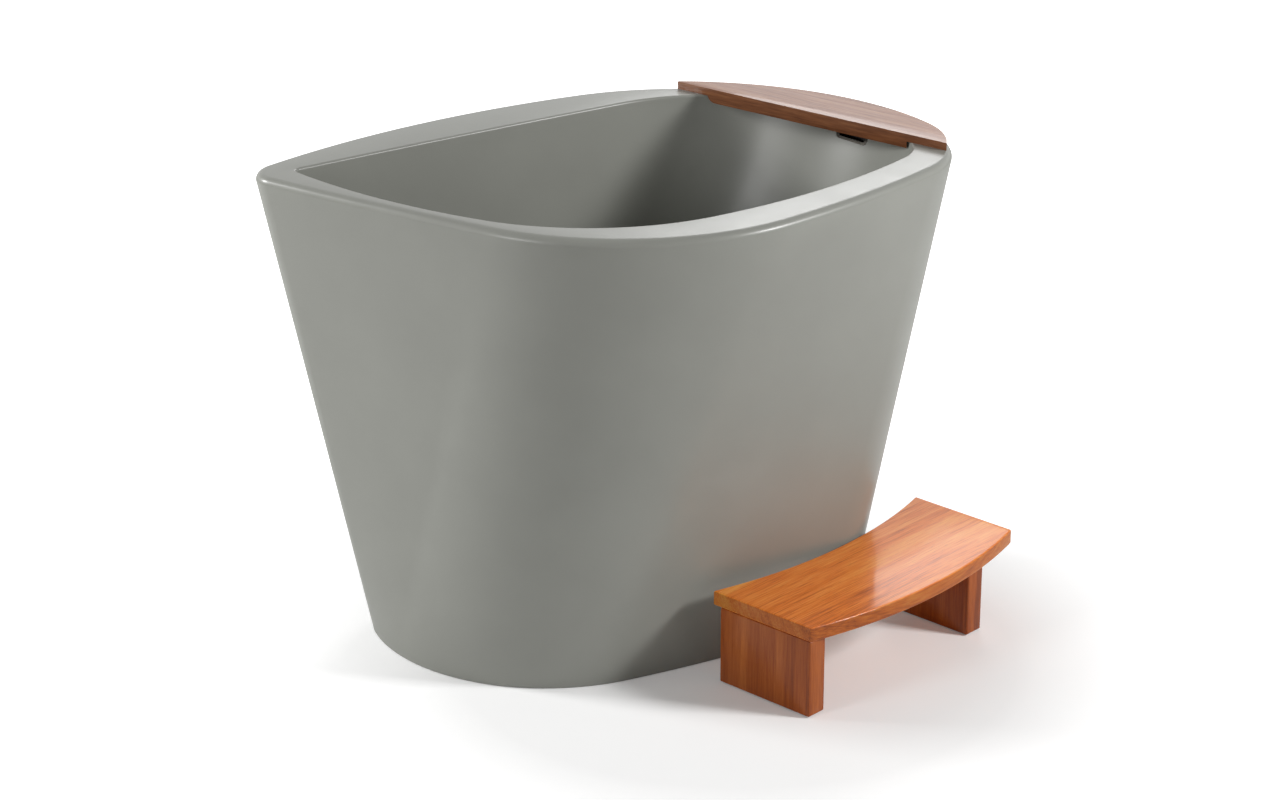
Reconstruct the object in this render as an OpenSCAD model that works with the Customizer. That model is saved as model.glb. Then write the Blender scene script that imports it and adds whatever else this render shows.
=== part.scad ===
// Soaking tub: a tapered double-walled stone bath with a wooden corner shelf and a curved
// wooden step. Lengths are in millimetres, angles in degrees. The origin is on the floor
// under the middle of the rim, +X runs to the rounded end, +Y away from the step, +Z up.
//
// Each plan outline is a closed run of tangent arcs: a belly on the near side and one on
// the far side, an end at the left and one at the right, and a flatter flank between each
// belly and end. A share tells how far the belly's arc runs before its flank takes over:
// close to 0 the flank does most of the turning, close to 1 it is almost straight.

/* [Tub] */
// Height of the rim above the floor
tub_height = 878; // [760:1:960]
// Thickness of both walls
wall = 12; // [10:0.5:14]
// Radius of the rim's outer edge
rim_round = 14; // [8:1:16]
// Radius of the rim's inner edge
edge_round = 5; // [2:0.5:8]
// Thickness of the rim's flat top
deck = 14; // [12:1:18]
// Height of the rim's outer lip, which stands on the skirt
lip = 30; // [24:1:40]
// Small relief round the foot of the skirt
foot_relief = 2; // [1:0.5:4]

/* [Rim outline] */
// Length from the left tip to the right end
rim_length = 1217; // [1190:1:1260]
// Radius of the left tip
rim_left_r = 61; // [50:1:75]
// Radius of the right end
rim_right_r = 211; // [190:1:230]
// Width from the middle line to the far belly
rim_far_w = 413; // [405:1:425]
// Place of the far belly along the length
rim_far_x = 128.5; // [110:0.5:145]
// Radius of the far belly
rim_far_r = 430; // [410:1:450]
// Share of the far belly towards the left
rim_far_left_ratio = 0.57; // [0.4:0.01:0.75]
// Share of the far belly towards the right
rim_far_right_ratio = 0.3; // [0.2:0.01:0.45]
// Width from the middle line to the near belly
rim_near_w = 459; // [450:1:470]
// Place of the near belly along the length
rim_near_x = 19.5; // [5:0.5:35]
// Radius of the near belly
rim_near_r = 414; // [395:1:430]
// Share of the near belly towards the left
rim_near_left_ratio = 0.95; // [0.8:0.01:0.97]
// Share of the near belly towards the right
rim_near_right_ratio = 0.85; // [0.7:0.01:0.95]

/* [Inner edge outline] */
// Length of the opening from its left corner to its right end
inner_length = 1078; // [1060:1:1090]
// Radius of the left corner
inner_left_r = 14; // [10:1:24]
// Radius of the right end
inner_right_r = 120; // [100:1:130]
// Width from the middle line to the far belly
inner_far_w = 350; // [340:1:356]
// Place of the far belly along the length
inner_far_x = 200; // [180:1:215]
// Radius of the far belly
inner_far_r = 300; // [280:1:320]
// Share of the far belly towards the left
inner_far_left_ratio = 0.95; // [0.85:0.01:0.97]
// Share of the far belly towards the right
inner_far_right_ratio = 0.5; // [0.35:0.01:0.65]
// Width from the middle line to the near belly
inner_near_w = 383; // [374:1:390]
// Place of the near belly along the length
inner_near_x = -29; // [-45:1:-10]
// Radius of the near belly
inner_near_r = 380; // [360:1:400]
// Share of the near belly towards the left
inner_near_left_ratio = 0.75; // [0.6:0.01:0.85]
// Share of the near belly towards the right
inner_near_right_ratio = 0.66; // [0.5:0.01:0.8]

/* [Base outline] */
// Length of the skirt's foot
base_length = 879; // [860:1:920]
// Shift of the foot's middle towards the right end
base_shift = 6.5; // [0:0.5:15]
// Radius of the left end
base_left_r = 120; // [110:1:135]
// Radius of the right end
base_right_r = 143; // [130:1:155]
// Width from the middle line to the far belly
base_far_w = 270; // [262:1:280]
// Place of the far belly along the length
base_far_x = 0; // [-15:1:15]
// Radius of the far belly
base_far_r = 300; // [285:1:315]
// Share of the far belly towards the left
base_far_left_ratio = 0.69; // [0.5:0.01:0.8]
// Share of the far belly towards the right
base_far_right_ratio = 0.69; // [0.5:0.01:0.8]
// Width from the middle line to the near belly
base_near_w = 292; // [284:1:300]
// Place of the near belly along the length
base_near_x = -110; // [-120:1:-95]
// Radius of the near belly
base_near_r = 335; // [320:1:350]
// Share of the near belly towards the left
base_near_left_ratio = 0.79; // [0.6:0.01:0.9]
// Share of the near belly towards the right
base_near_right_ratio = 0.77; // [0.6:0.01:0.9]

/* [Bowl] */
// Height of the bowl's floor above the ground
bowl_floor = 125; // [115:1:150]
// Thickness of the bowl's floor
floor_thick = 20; // [18:1:26]
// How far the bowl stands inside the skirt's foot outline
bowl_inset = 60; // [52:1:66]
// Radius between the bowl's floor and its wall
bowl_round = 45; // [35:1:50]

/* [Support] */
// Thickness of the board bonded under the bowl
board_thick = 22; // [18:1:28]
// How far the board stays inside the bowl's flat underside
board_inset = 4; // [2:1:10]
// Least width of board that is left round the hole for the waste
board_collar = 3; // [2:0.5:6]
// Distance of the outer feet from the ends of the board
feet_end_inset = 132; // [120:1:160]
// Distance of the outer feet from the skirt's foot, where it is widest
feet_side_inset = 200; // [190:1:212]
// Radius of a foot's shaft
foot_r = 24; // [18:1:28]
// Radius of a foot's sole
sole_r = 30; // [28:1:34]
// Height of a foot's sole
sole_h = 12; // [8:1:18]

/* [Waste] */
// Distance of the waste from the right end of the skirt's foot
drain_end_inset = 202; // [190:1:220]
// Place of the waste across the width
drain_y = -15; // [-30:1:0]
// Radius of the waste's top flange
flange_r = 36; // [33:1:40]
// Thickness of the top flange
flange_thick = 3; // [2:0.5:4]
// Bore of the waste
waste_r = 20; // [18:0.5:21]
// Wall of the threaded spigot
spigot_wall = 3.5; // [2.5:0.5:4.5]
// Length of the spigot below the bowl's floor
spigot_length = 47; // [42:1:52]
// Thickness of the washer under the flange
upper_washer = 1.5; // [1:0.5:3]
// Thickness of the washer under the bowl
lower_washer = 3; // [2:0.5:4]
// Height of the locknut
locknut_h = 10; // [8:1:14]
// Wall of the waste's tee
tee_wall = 6; // [4:0.5:8]
// Outer radius of the outlet spigot
tail_r = 20; // [16:0.5:22]
// Wall of the outlet spigot
tail_wall = 3; // [2:0.5:4]
// Length of the outlet spigot
tail_length = 34; // [25:1:38]
// Gap between the outlet spigot and the ground
tail_gap = 8; // [4:1:15]

/* [Plug] */
// Radius of the plug's cap
cap_r = 31; // [28:0.5:33]
// Height of the cap's edge
cap_edge = 2.5; // [2:0.5:4]
// Height of the cap's crown above its edge
cap_crown = 3.5; // [2:0.5:6]
// Thickness of the cap's seal
seal_thick = 2; // [1.5:0.5:3]
// Radius of the plug's stem
stem_r = 3; // [2.5:0.5:4]
// How far the plug rises when it opens
plug_travel = 8; // [6:1:10]

/* [Overflow] */
// Depth of the overflow slot's middle below the rim
overflow_drop = 38; // [34:1:60]
// Direction of the overflow as seen from the waste
overflow_az = 39.4; // [34:0.1:46]
// Width of the slot
slot_w = 66; // [50:1:72]
// Height of the slot
slot_h = 10; // [8:1:12]
// Width of the trim's frame round the slot
trim_edge = 5; // [4:0.5:6]
// Thickness of the trim's frame
trim_thick = 2; // [1.5:0.5:3]
// Outer radius of the overflow pipe
pipe_r = 9; // [8:0.5:9.5]
// Wall of the overflow pipe
pipe_wall = 1.5; // [1:0.5:2.5]
// Radius of the pipe's bend, at its middle line
bend_r = 35; // [28:1:40]
// Depth of the box behind the wall
box_depth = 24; // [22:1:25]
// Gap between the pipe and the bowl's lower rounding
pipe_clear = 6; // [4:1:12]

/* [Shelf] */
// Thickness of the shelf above the rim
shelf_thick = 14; // [12:1:25]
// How far the shelf's thicker middle reaches into the tub
shelf_drop = 12; // [8:1:16]
// Direction that the shelf's front edge faces, from the tub's middle
shelf_az = 41.6; // [38:0.1:48]
// Distance of the front edge from the tub's middle
shelf_front = 403.5; // [390:0.5:415]
// How far the shelf stays inside the rim's outer edge
shelf_inset = 10; // [8:1:20]
// Play between the thicker middle and the opening
shelf_play = 5; // [4:0.5:10]
// Radius at the lower left end of the thicker middle
shelf_end_r = 18; // [16:1:24]
// Length cut off the shelf's sharp left tip
shelf_tip_cut = 4; // [2:1:12]

/* [Step] */
// Height of the step
step_height = 172; // [150:1:200]
// Length of the step's top
step_length = 565; // [520:1:600]
// Depth of the step's top at its middle
step_depth = 222; // [215:1:250]
// Thickness of the top
step_thick = 27; // [22:1:34]
// Radius of both long curved edges
step_curve = 985; // [900:5:1100]
// Smallest gap between the step's top and the tub's wall
step_gap = 4; // [3:0.5:12]
// Direction that the step faces
step_az = -51.6; // [-54:0.1:-49]
// Point inside the tub from which the step is aimed, along the length
step_from_x = 263; // [255:1:270]
// Point inside the tub from which the step is aimed, across the width
step_from_y = 7; // [0:1:15]
// Thickness of a leg
leg_thick = 41; // [34:1:48]
// Depth of a leg
leg_depth = 205; // [190:1:210]
// How far the right leg stands in from the end of the top
leg_inset = 82; // [60:1:100]
// Radius of a dowel
dowel_r = 5; // [4:0.5:6]
// Length of a dowel
dowel_length = 36; // [28:1:38]
// Distance between the two dowels of a leg
dowel_pitch = 120; // [90:1:140]
// Radius of a pad
pad_r = 12; // [9:1:15]
// Thickness of a pad
pad_thick = 2; // [1.5:0.5:3]
// Distance between the two pads of a leg
pad_pitch = 160; // [130:1:170]

/* [Hidden] */

$fn = 64;
eps = 0.01;
far_away = 2000;

// Clearances
thread_play = 0.1;
running_play = 0.05;
seat_gap = 0.3;
// How far a cut runs past the faces it goes through
overcut = 1;

// Points on one arc of an outline
belly_steps = 8;
flank_steps = 6;
end_steps = 10;
// Bands on a rounded edge
round_steps = 5;

// Colours
stone = [0.56, 0.56, 0.53];
timber = [0.55, 0.30, 0.18];
board_wood = [0.70, 0.58, 0.42];
steel = [0.80, 0.81, 0.83];
black_plastic = [0.14, 0.14, 0.15];
rubber = [0.08, 0.08, 0.08];

quarter_turn = 90;
octagon = 8;

// ---- Plan outlines ----

rim = [rim_length/2, rim_left_r, rim_right_r,
       rim_far_w, rim_far_x, rim_far_r, rim_far_left_ratio, rim_far_right_ratio,
       rim_near_w, rim_near_x, rim_near_r, rim_near_left_ratio, rim_near_right_ratio, 0];
inner = [inner_length/2, inner_left_r, inner_right_r,
         inner_far_w, inner_far_x, inner_far_r, inner_far_left_ratio, inner_far_right_ratio,
         inner_near_w, inner_near_x, inner_near_r, inner_near_left_ratio, inner_near_right_ratio, 0];
base = [base_length/2, base_left_r, base_right_r,
        base_far_w, base_far_x, base_far_r, base_far_left_ratio, base_far_right_ratio,
        base_near_w, base_near_x, base_near_r, base_near_left_ratio, base_near_right_ratio, base_shift];

function heading(t) = [sin(t), cos(t)];

// A quarter of an outline, from the belly's widest point to the tip of its end. The flank's
// circle touches the belly's circle where the belly stops, and the end's circle from inside.
function quarter(half, end_r, wide, at, belly_r, share) =
    let(belly_c = [at, wide - belly_r],
        end_c = [half - end_r, 0],
        gap = belly_c - end_c,
        excess = belly_r - end_r,
        spread = share*(atan2(gap.y, -gap.x) + asin(min(1, excess/norm(gap)))),
        n = heading(spread),
        step = (gap*gap - excess*excess)/(2*(gap*n + excess)),
        flank_r = belly_r + step,
        flank_c = belly_c - step*n,
        tail = end_c - flank_c,
        turn = atan2(tail.x, tail.y))
    concat([for (i = [0:belly_steps - 1]) belly_c + belly_r*heading(spread*i/belly_steps)],
           [for (i = [0:flank_steps - 1])
                flank_c + flank_r*heading(spread + (turn - spread)*i/flank_steps)],
           [for (i = [0:end_steps])
                end_c + end_r*heading(turn + (quarter_turn - turn)*i/end_steps)]);

function mirrored(points, sx, sy) = [for (p = points) [sx*p.x, sy*p.y]];
function reversed(points) = [for (i = [len(points) - 1:-1:0]) points[i]];
function without_first(points) = [for (i = [1:len(points) - 1]) points[i]];
function without_last(points) = [for (i = [0:len(points) - 2]) points[i]];

// The closed outline o, set in by a distance, anticlockwise from the tip of the right end
function ring(o, inset = 0) =
    let(half = o[0] - inset, left_r = o[1] - inset, right_r = o[2] - inset,
        far_right = quarter(half, right_r, o[3] - inset, o[4], o[5] - inset, o[7]),
        far_left = quarter(half, left_r, o[3] - inset, -o[4], o[5] - inset, o[6]),
        near_left = quarter(half, left_r, o[8] - inset, -o[9], o[10] - inset, o[11]),
        near_right = quarter(half, right_r, o[8] - inset, o[9], o[10] - inset, o[12]),
        points = concat(reversed(far_right),
                        without_first(mirrored(far_left, -1, 1)),
                        without_first(reversed(mirrored(near_left, -1, -1))),
                        without_first(without_last(mirrored(near_right, 1, -1)))))
    [for (p = points) [p.x + o[13], p.y]];

function mix(a, b, t) = [for (i = [0:len(a) - 1]) a[i]*(1 - t) + b[i]*t];
function raised(points, z) = [for (p = points) [p.x, p.y, z]];

// How far a ray from a point inside a ring runs before it meets the ring
function reach(points, from, az) =
    let(dir = [cos(az), sin(az)])
    max([for (i = [0:len(points) - 1])
            let(a = points[i] - from,
                b = points[(i + 1)%len(points)] - from,
                side_a = cross(dir, a),
                side_b = cross(dir, b))
            if (side_a*side_b <= 0 && side_a != side_b)
                dir*(a + (b - a)*side_a/(side_a - side_b))]);

// ---- Walls ----

rim_level = tub_height - rim_round;
edge_level = tub_height - edge_round;
lip_level = tub_height - lip;
deck_level = tub_height - deck;
// The bowl's wall leans out by about this angle, where its lower rounding ends
wall_lean = 11.5;
knee_level = bowl_floor + bowl_round*(1 - sin(wall_lean));

// The skirt's wall at a height, set in by a distance
function skirt_ring(z, inset = 0) = mix(ring(base, inset), ring(rim, inset), z/rim_level);
// The bowl's wall at a height, set out by a distance
function bowl_ring(z, out = 0) =
    mix(ring(base, bowl_inset - out), ring(inner, -out),
        (z - knee_level)/(edge_level - knee_level));
// A band of the rounding between the bowl's floor and its wall: angle 0 is the floor
function knee_ring(angle, out) =
    raised(ring(base, bowl_inset - out*sin(angle) + bowl_round*(cos(wall_lean) - sin(angle))),
           bowl_floor + bowl_round - (bowl_round + out)*cos(angle));

knee_turn = quarter_turn - wall_lean;
knee_angles = [for (i = [0:round_steps]) knee_turn*i/round_steps];
quarter_angles = [for (i = [0:round_steps]) quarter_turn*i/round_steps];

// A closed surface through rings of equal length. A loop joins the last ring to the first,
// and otherwise the first and the last are closed with flat faces.
module skin(rings, loop = false) {
    count = len(rings);
    size = len(rings[0]);
    bands = loop ? count : count - 1;
    sides = [for (i = [0:bands - 1], j = [0:size - 1])
                let(low = i*size, high = ((i + 1)%count)*size, k = (j + 1)%size)
                each [[low + j, high + j, high + k], [low + j, high + k, low + k]]];
    caps = loop ? [] : [[for (j = [0:size - 1]) j],
                        [for (j = [size - 1:-1:0]) (count - 1)*size + j]];
    polyhedron([for (r = rings) each r], concat(sides, caps));
}

module outer_shell() {
    color(stone)
        skin([raised(skirt_ring(0, foot_relief), 0),
              raised(skirt_ring(foot_relief), foot_relief),
              raised(skirt_ring(lip_level), lip_level),
              raised(skirt_ring(lip_level, wall), lip_level),
              raised(skirt_ring(0, wall), 0)], loop = true);
}

// Bowl and rim in one casting, from the underside over the rim to the bathing floor
module basin_casting() {
    underside = [raised(ring(base, bowl_inset + bowl_round*cos(wall_lean)),
                        bowl_floor - floor_thick)];
    outside = [for (a = without_first(knee_angles)) knee_ring(a, wall)];
    under_deck = [raised(bowl_ring(deck_level, wall), deck_level),
                  raised(skirt_ring(deck_level, wall), deck_level),
                  raised(skirt_ring(lip_level, wall), lip_level),
                  raised(skirt_ring(lip_level), lip_level)];
    outer_edge = [for (a = quarter_angles)
                    raised(ring(rim, rim_round*(1 - cos(a))), rim_level + rim_round*sin(a))];
    inner_edge = [for (a = quarter_angles)
                    raised(ring(inner, -edge_round*(1 - sin(a))),
                           edge_level + edge_round*cos(a))];
    inside = [for (a = reversed(knee_angles)) knee_ring(a, 0)];
    skin(concat(underside, outside, under_deck, outer_edge, inner_edge, inside));
}

// ---- Waste ----

under_bowl = bowl_floor - floor_thick;
base_right = base_length/2 + base_shift;
base_left = base_right - base_length;
drain_x = base_right - drain_end_inset;
drain_at = [drain_x, drain_y];
// Flange in its recess, flush with the bathing floor
recess = upper_washer + flange_thick;
recess_level = bowl_floor - recess;
recess_play = 1;
flange_bevel = 1;
mouth_bevel = 1.5;
spigot_r = waste_r + spigot_wall;
spigot_end = bowl_floor - spigot_length;
hole_play = 1.5;
hole_r = spigot_r + hole_play;
// Spokes and hub that carry the plug's barrel
grid_rise = 20;
grid_thick = 5;
grid_level = spigot_end + grid_rise;
spoke = 4;
spoke_root = 1;
hub_r = 7;
hub_bore = 4.5;
// Locknut and tee below the bowl
locknut_top = under_bowl - lower_washer;
locknut_edge = 3;
tee_top = locknut_top - locknut_h;
tee_r = spigot_r + tee_wall;
tail_end = tail_gap;
tee_floor = tail_end + tail_length;
// Inlet socket for the overflow pipe
inlet_drop = 5;
inlet_level = (tee_floor + tee_top)/2 - inlet_drop;
inlet_wall = 4;
inlet_length = 16;
socket_r = pipe_r + running_play;
inlet_r = socket_r + inlet_wall;
inlet_end = tee_r + inlet_length;
pipe_socket = 12;
pipe_end_gap = 1;

module at_drain() {
    translate([drain_x, drain_y, 0]) children();
}

module pipe_ring(outer, bore, low, high) {
    translate([0, 0, low])
        difference() {
            cylinder(r = outer, h = high - low);
            translate([0, 0, -eps]) cylinder(r = bore, h = high - low + 2*eps);
        }
}

module drain_flange() {
    color(steel)
        at_drain() {
            rotate_extrude()
                polygon([[waste_r, spigot_end], [spigot_r, spigot_end],
                         [spigot_r, recess_level + upper_washer],
                         [flange_r, recess_level + upper_washer],
                         [flange_r, bowl_floor - flange_bevel],
                         [flange_r - flange_bevel, bowl_floor],
                         [waste_r + mouth_bevel, bowl_floor],
                         [waste_r, bowl_floor - mouth_bevel]]);
            difference() {
                union() {
                    for (a = [0, quarter_turn])
                        rotate([0, 0, a])
                            translate([-waste_r - spoke_root, -spoke/2, grid_level])
                                cube([2*(waste_r + spoke_root), spoke, grid_thick]);
                    translate([0, 0, grid_level]) cylinder(r = hub_r, h = grid_thick);
                }
                translate([0, 0, grid_level - eps])
                    cylinder(r = hub_bore, h = grid_thick + 2*eps);
            }
        }
}

module drain_upper_washer() {
    color(rubber)
        at_drain()
            pipe_ring(flange_r - flange_bevel, hole_r, recess_level, recess_level + upper_washer);
}

module drain_lower_washer() {
    color(rubber) at_drain() pipe_ring(flange_r, spigot_r + thread_play, locknut_top, under_bowl);
}

module drain_locknut() {
    color(black_plastic)
        at_drain()
            translate([0, 0, tee_top])
                difference() {
                    cylinder(r = flange_r + locknut_edge, h = locknut_h, $fn = octagon);
                    translate([0, 0, -eps])
                        cylinder(r = spigot_r + thread_play, h = locknut_h + 2*eps);
                }
}

// Tee below the bowl: collar on the spigot, inlet from the overflow, outlet downwards
module drain_tee() {
    color(black_plastic)
        at_drain()
            difference() {
                union() {
                    translate([0, 0, tee_floor]) cylinder(r = tee_r, h = tee_top - tee_floor);
                    translate([0, 0, tail_end]) cylinder(r = tail_r, h = tail_length + eps);
                    rotate([0, 0, pipe_az])
                        translate([0, 0, inlet_level])
                            rotate([0, 90, 0]) cylinder(r = inlet_r, h = inlet_end);
                }
                translate([0, 0, spigot_end])
                    cylinder(r = spigot_r + thread_play, h = tee_top - spigot_end + eps);
                translate([0, 0, tee_floor + tee_wall])
                    cylinder(r = waste_r, h = tee_top - tee_floor);
                translate([0, 0, tail_end - eps])
                    cylinder(r = tail_r - tail_wall, h = tail_length + tee_wall + overcut);
                rotate([0, 0, pipe_az])
                    translate([0, 0, inlet_level])
                        rotate([0, 90, 0]) {
                            cylinder(r = pipe_r - pipe_wall, h = inlet_end);
                            translate([0, 0, inlet_end - pipe_socket])
                                cylinder(r = socket_r, h = pipe_socket + eps);
                        }
            }
}

// ---- Plug ----

barrel_r = 6;
barrel_low = grid_level + grid_thick;
barrel_depth = 3;
barrel_top = bowl_floor - barrel_depth;
barrel_tail = 8;
// Length of stem that stays in the barrel while the plug is open
stem_grip = 9;
stem_low = barrel_top - plug_travel - stem_grip;
stem_end_gap = 1;
stem_bore_low = stem_low - stem_end_gap;
seal_low = bowl_floor + seat_gap;
cap_low = seal_low + seal_thick;
cap_bevel = 1;
cap_boss_r = 8;
cap_boss_low = barrel_top + seat_gap;
crown_steps = 12;
seal_land = 2.5;
seal_in = waste_r + seal_land;
seal_margin = 3;
seal_out = cap_r - seal_margin;

// Fixed barrel of the push-to-open mechanism, screwed into the flange's hub
module click_barrel() {
    color(steel)
        at_drain()
            difference() {
                union() {
                    translate([0, 0, barrel_low]) cylinder(r = barrel_r, h = barrel_top - barrel_low);
                    translate([0, 0, barrel_low - barrel_tail])
                        cylinder(r = hub_bore - thread_play, h = barrel_tail + eps);
                }
                translate([0, 0, stem_bore_low])
                    cylinder(r = stem_r + running_play, h = barrel_top - stem_bore_low + eps);
            }
}

module plug_stem() {
    color(steel)
        at_drain() translate([0, 0, stem_low]) cylinder(r = stem_r, h = cap_low - stem_low);
}

module plug_seal() {
    color(rubber) at_drain() pipe_ring(seal_out, seal_in, seal_low, cap_low);
}

module plug_cap() {
    crown_r = (cap_r*cap_r + cap_crown*cap_crown)/(2*cap_crown);
    crown_turn = asin(cap_r/crown_r);
    crown = [for (i = [0:crown_steps])
                let(a = crown_turn*(1 - i/crown_steps))
                [crown_r*sin(a), cap_low + cap_edge + cap_crown - crown_r*(1 - cos(a))]];
    color(steel)
        at_drain() {
            difference() {
                union() {
                    rotate_extrude()
                        polygon(concat([[0, cap_low], [cap_r - cap_bevel, cap_low],
                                        [cap_r, cap_low + cap_bevel]], crown));
                    translate([0, 0, cap_boss_low])
                        cylinder(r = cap_boss_r, h = cap_low - cap_boss_low + eps);
                }
                translate([0, 0, cap_boss_low - eps])
                    cylinder(r = stem_r + running_play, h = cap_low - cap_boss_low + eps);
            }
        }
}

// ---- Overflow ----

overflow_level = tub_height - overflow_drop;
function wall_at(az, level = overflow_level) = reach(bowl_ring(level), drain_at, az);
function from_drain(distance, az) = drain_at + distance*[cos(az), sin(az)];
overflow_reach = wall_at(overflow_az);
slot_at = from_drain(overflow_reach, overflow_az);
// The slot faces along the wall's own normal, taken between the slot's two ends
slot_view = atan(slot_w/2/overflow_reach);
slot_chord = from_drain(wall_at(overflow_az + slot_view), overflow_az + slot_view)
             - from_drain(wall_at(overflow_az - slot_view), overflow_az - slot_view);
face_az = atan2(-slot_chord.x, slot_chord.y);
face_lean = atan((wall_at(overflow_az, overflow_level + slot_h)
                  - wall_at(overflow_az, overflow_level - slot_h))/(2*slot_h));
// Depths below are measured outwards from the bowl's wetted face at the slot's middle
front_seat = 0.5;
back_cut = 4.5;
back_seat = wall - back_cut;
gasket_thick = 2.5;
gasket_play = 0.5;
box_front = back_seat + gasket_thick;
sleeve_wall = 2;
sleeve_play = 0.2;
sleeve_w = slot_w + 2*sleeve_wall;
sleeve_h = slot_h + 2*sleeve_wall;
sleeve_grip = 4;
sleeve_end = box_front + sleeve_grip;
frame_w = sleeve_w + 2*trim_edge;
frame_h = slot_h + 2*trim_edge;
frame_play = 0.3;
box_wall = 2.5;
box_edge = 6;
box_w = sleeve_w + 2*box_edge;
box_h = sleeve_h + 2*box_edge;
box_play = 2;
box_lip = 5;
box_end_wall = 5.5;
box_spigot = 14;
box_spigot_wall = 1.5;
box_spigot_r = socket_r + box_spigot_wall;
pipe_shift = 2.5;
pipe_at = box_front + box_depth/2 + pipe_shift;
upper_nut_h = 10;
upper_nut_wall = 1.9;
upper_nut_corner = box_spigot_r + upper_nut_wall;
lower_nut_h = 14;
lower_nut_grip = 6;
lower_nut_wall = 4.5;
lower_nut_corner = inlet_r + lower_nut_wall;

// The pipe's plane runs through the waste and the middle of the box's underside
pipe_top_out = pipe_at*cos(face_lean) - box_h/2*sin(face_lean);
pipe_top_level = overflow_level - pipe_at*sin(face_lean) - box_h/2*cos(face_lean);
pipe_top = slot_at + pipe_top_out*[cos(face_az), sin(face_az)] - drain_at;
pipe_az = atan2(pipe_top.y, pipe_top.x);
// The pipe clears the bowl where the bowl's wall meets its lower rounding
pipe_low_s = reach(bowl_ring(knee_level, wall), drain_at, pipe_az) + pipe_r + pipe_clear;
pipe_lean = atan((norm(pipe_top) - pipe_low_s)/(pipe_top_level - knee_level));

// Frame at the slot: +X outwards through the wall, +Z up along the wall
module at_overflow() {
    translate([slot_at.x, slot_at.y, overflow_level])
        rotate([0, 0, face_az])
            rotate([0, face_lean, 0]) children();
}

// Frame in the pipe's plane: +X away from the waste, +Z up
module in_pipe_plane(s, level) {
    at_drain() rotate([0, 0, pipe_az]) translate([s, 0, level]) children();
}

// Frame under the box: +Z up along the pipe
module at_pipe_top() {
    in_pipe_plane(norm(pipe_top), pipe_top_level) rotate([0, pipe_lean, 0]) children();
}

// A bar with round sides, w wide and h high, between two depths
module slot_bar(w, h, from, to) {
    translate([from, 0, 0])
        rotate([0, 90, 0])
            linear_extrude(to - from) {
                square([h, w - h], center = true);
                for (side = [-1, 1])
                    translate([0, side*(w - h)/2]) circle(d = h);
            }
}

module overflow_trim() {
    color(steel)
        at_overflow()
            difference() {
                union() {
                    slot_bar(frame_w, frame_h, front_seat - trim_thick, front_seat);
                    slot_bar(sleeve_w, sleeve_h, front_seat - eps, sleeve_end);
                }
                slot_bar(slot_w, slot_h, front_seat - trim_thick - eps, sleeve_end + eps);
            }
}

module overflow_gasket() {
    color(rubber)
        at_overflow()
            difference() {
                slot_bar(box_w, box_h, back_seat, box_front);
                slot_bar(sleeve_w + 2*gasket_play, sleeve_h + 2*gasket_play,
                         back_seat - eps, box_front + eps);
            }
}

module overflow_box() {
    color(black_plastic)
        difference() {
            union() {
                at_overflow() slot_bar(box_w, box_h, box_front, box_front + box_depth);
                at_pipe_top()
                    translate([0, 0, -box_spigot])
                        cylinder(r = box_spigot_r, h = box_spigot + box_h/4);
            }
            at_overflow() {
                slot_bar(sleeve_w + 2*sleeve_play, sleeve_h + 2*sleeve_play,
                         box_front - eps, box_front + box_depth/2);
                slot_bar(box_w - 2*box_end_wall, box_h - 2*box_wall,
                         box_front + box_lip, box_front + box_depth - box_wall);
            }
            at_pipe_top()
                translate([0, 0, -box_spigot - eps]) {
                    cylinder(r = socket_r, h = pipe_socket + eps);
                    cylinder(r = pipe_r - pipe_wall, h = box_spigot + box_h/2);
                }
        }
}

module overflow_upper_nut() {
    color(black_plastic)
        at_pipe_top()
            translate([0, 0, -box_spigot - upper_nut_h/2])
                difference() {
                    cylinder(r = upper_nut_corner, h = upper_nut_h, $fn = octagon);
                    translate([0, 0, -eps])
                        cylinder(r = socket_r, h = upper_nut_h + 2*eps);
                    translate([0, 0, upper_nut_h/2])
                        cylinder(r = box_spigot_r + running_play, h = upper_nut_h/2 + eps);
                }
}

// The pipe's path: down along the bowl, round the bend and level into the tee
pipe_drop = box_spigot - pipe_socket + pipe_end_gap;
pipe_start_s = norm(pipe_top) - pipe_drop*sin(pipe_lean);
pipe_start_level = pipe_top_level - pipe_drop*cos(pipe_lean);
fall = (pipe_start_level - inlet_level)/cos(pipe_lean);
bend_turn = quarter_turn - pipe_lean;
bend_run = bend_r*tan(bend_turn/2);
bend_end_s = pipe_start_s - fall*sin(pipe_lean) - bend_run;
link_end_s = inlet_end - pipe_socket + pipe_end_gap;

module pipe_length(length) {
    difference() {
        cylinder(r = pipe_r, h = length);
        translate([0, 0, -eps]) cylinder(r = pipe_r - pipe_wall, h = length + 2*eps);
    }
}

// Upper pipe, straight down beside the bowl
module overflow_pipe() {
    color(black_plastic)
        in_pipe_plane(pipe_start_s, pipe_start_level)
            rotate([0, 180 + pipe_lean, 0]) pipe_length(fall - bend_run);
}

// Bend welded between the two straight pipes
module overflow_bend() {
    color(black_plastic)
        in_pipe_plane(bend_end_s, inlet_level + bend_r)
            rotate([90, 0, 0])
                rotate([0, 0, 270])
                    rotate_extrude(angle = bend_turn)
                        translate([bend_r, 0])
                            difference() {
                                circle(r = pipe_r);
                                circle(r = pipe_r - pipe_wall);
                            }
}

// Lower pipe, level from the bend into the tee
module overflow_link() {
    color(black_plastic)
        in_pipe_plane(link_end_s, inlet_level)
            rotate([0, 90, 0]) pipe_length(bend_end_s - link_end_s);
}

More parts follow.
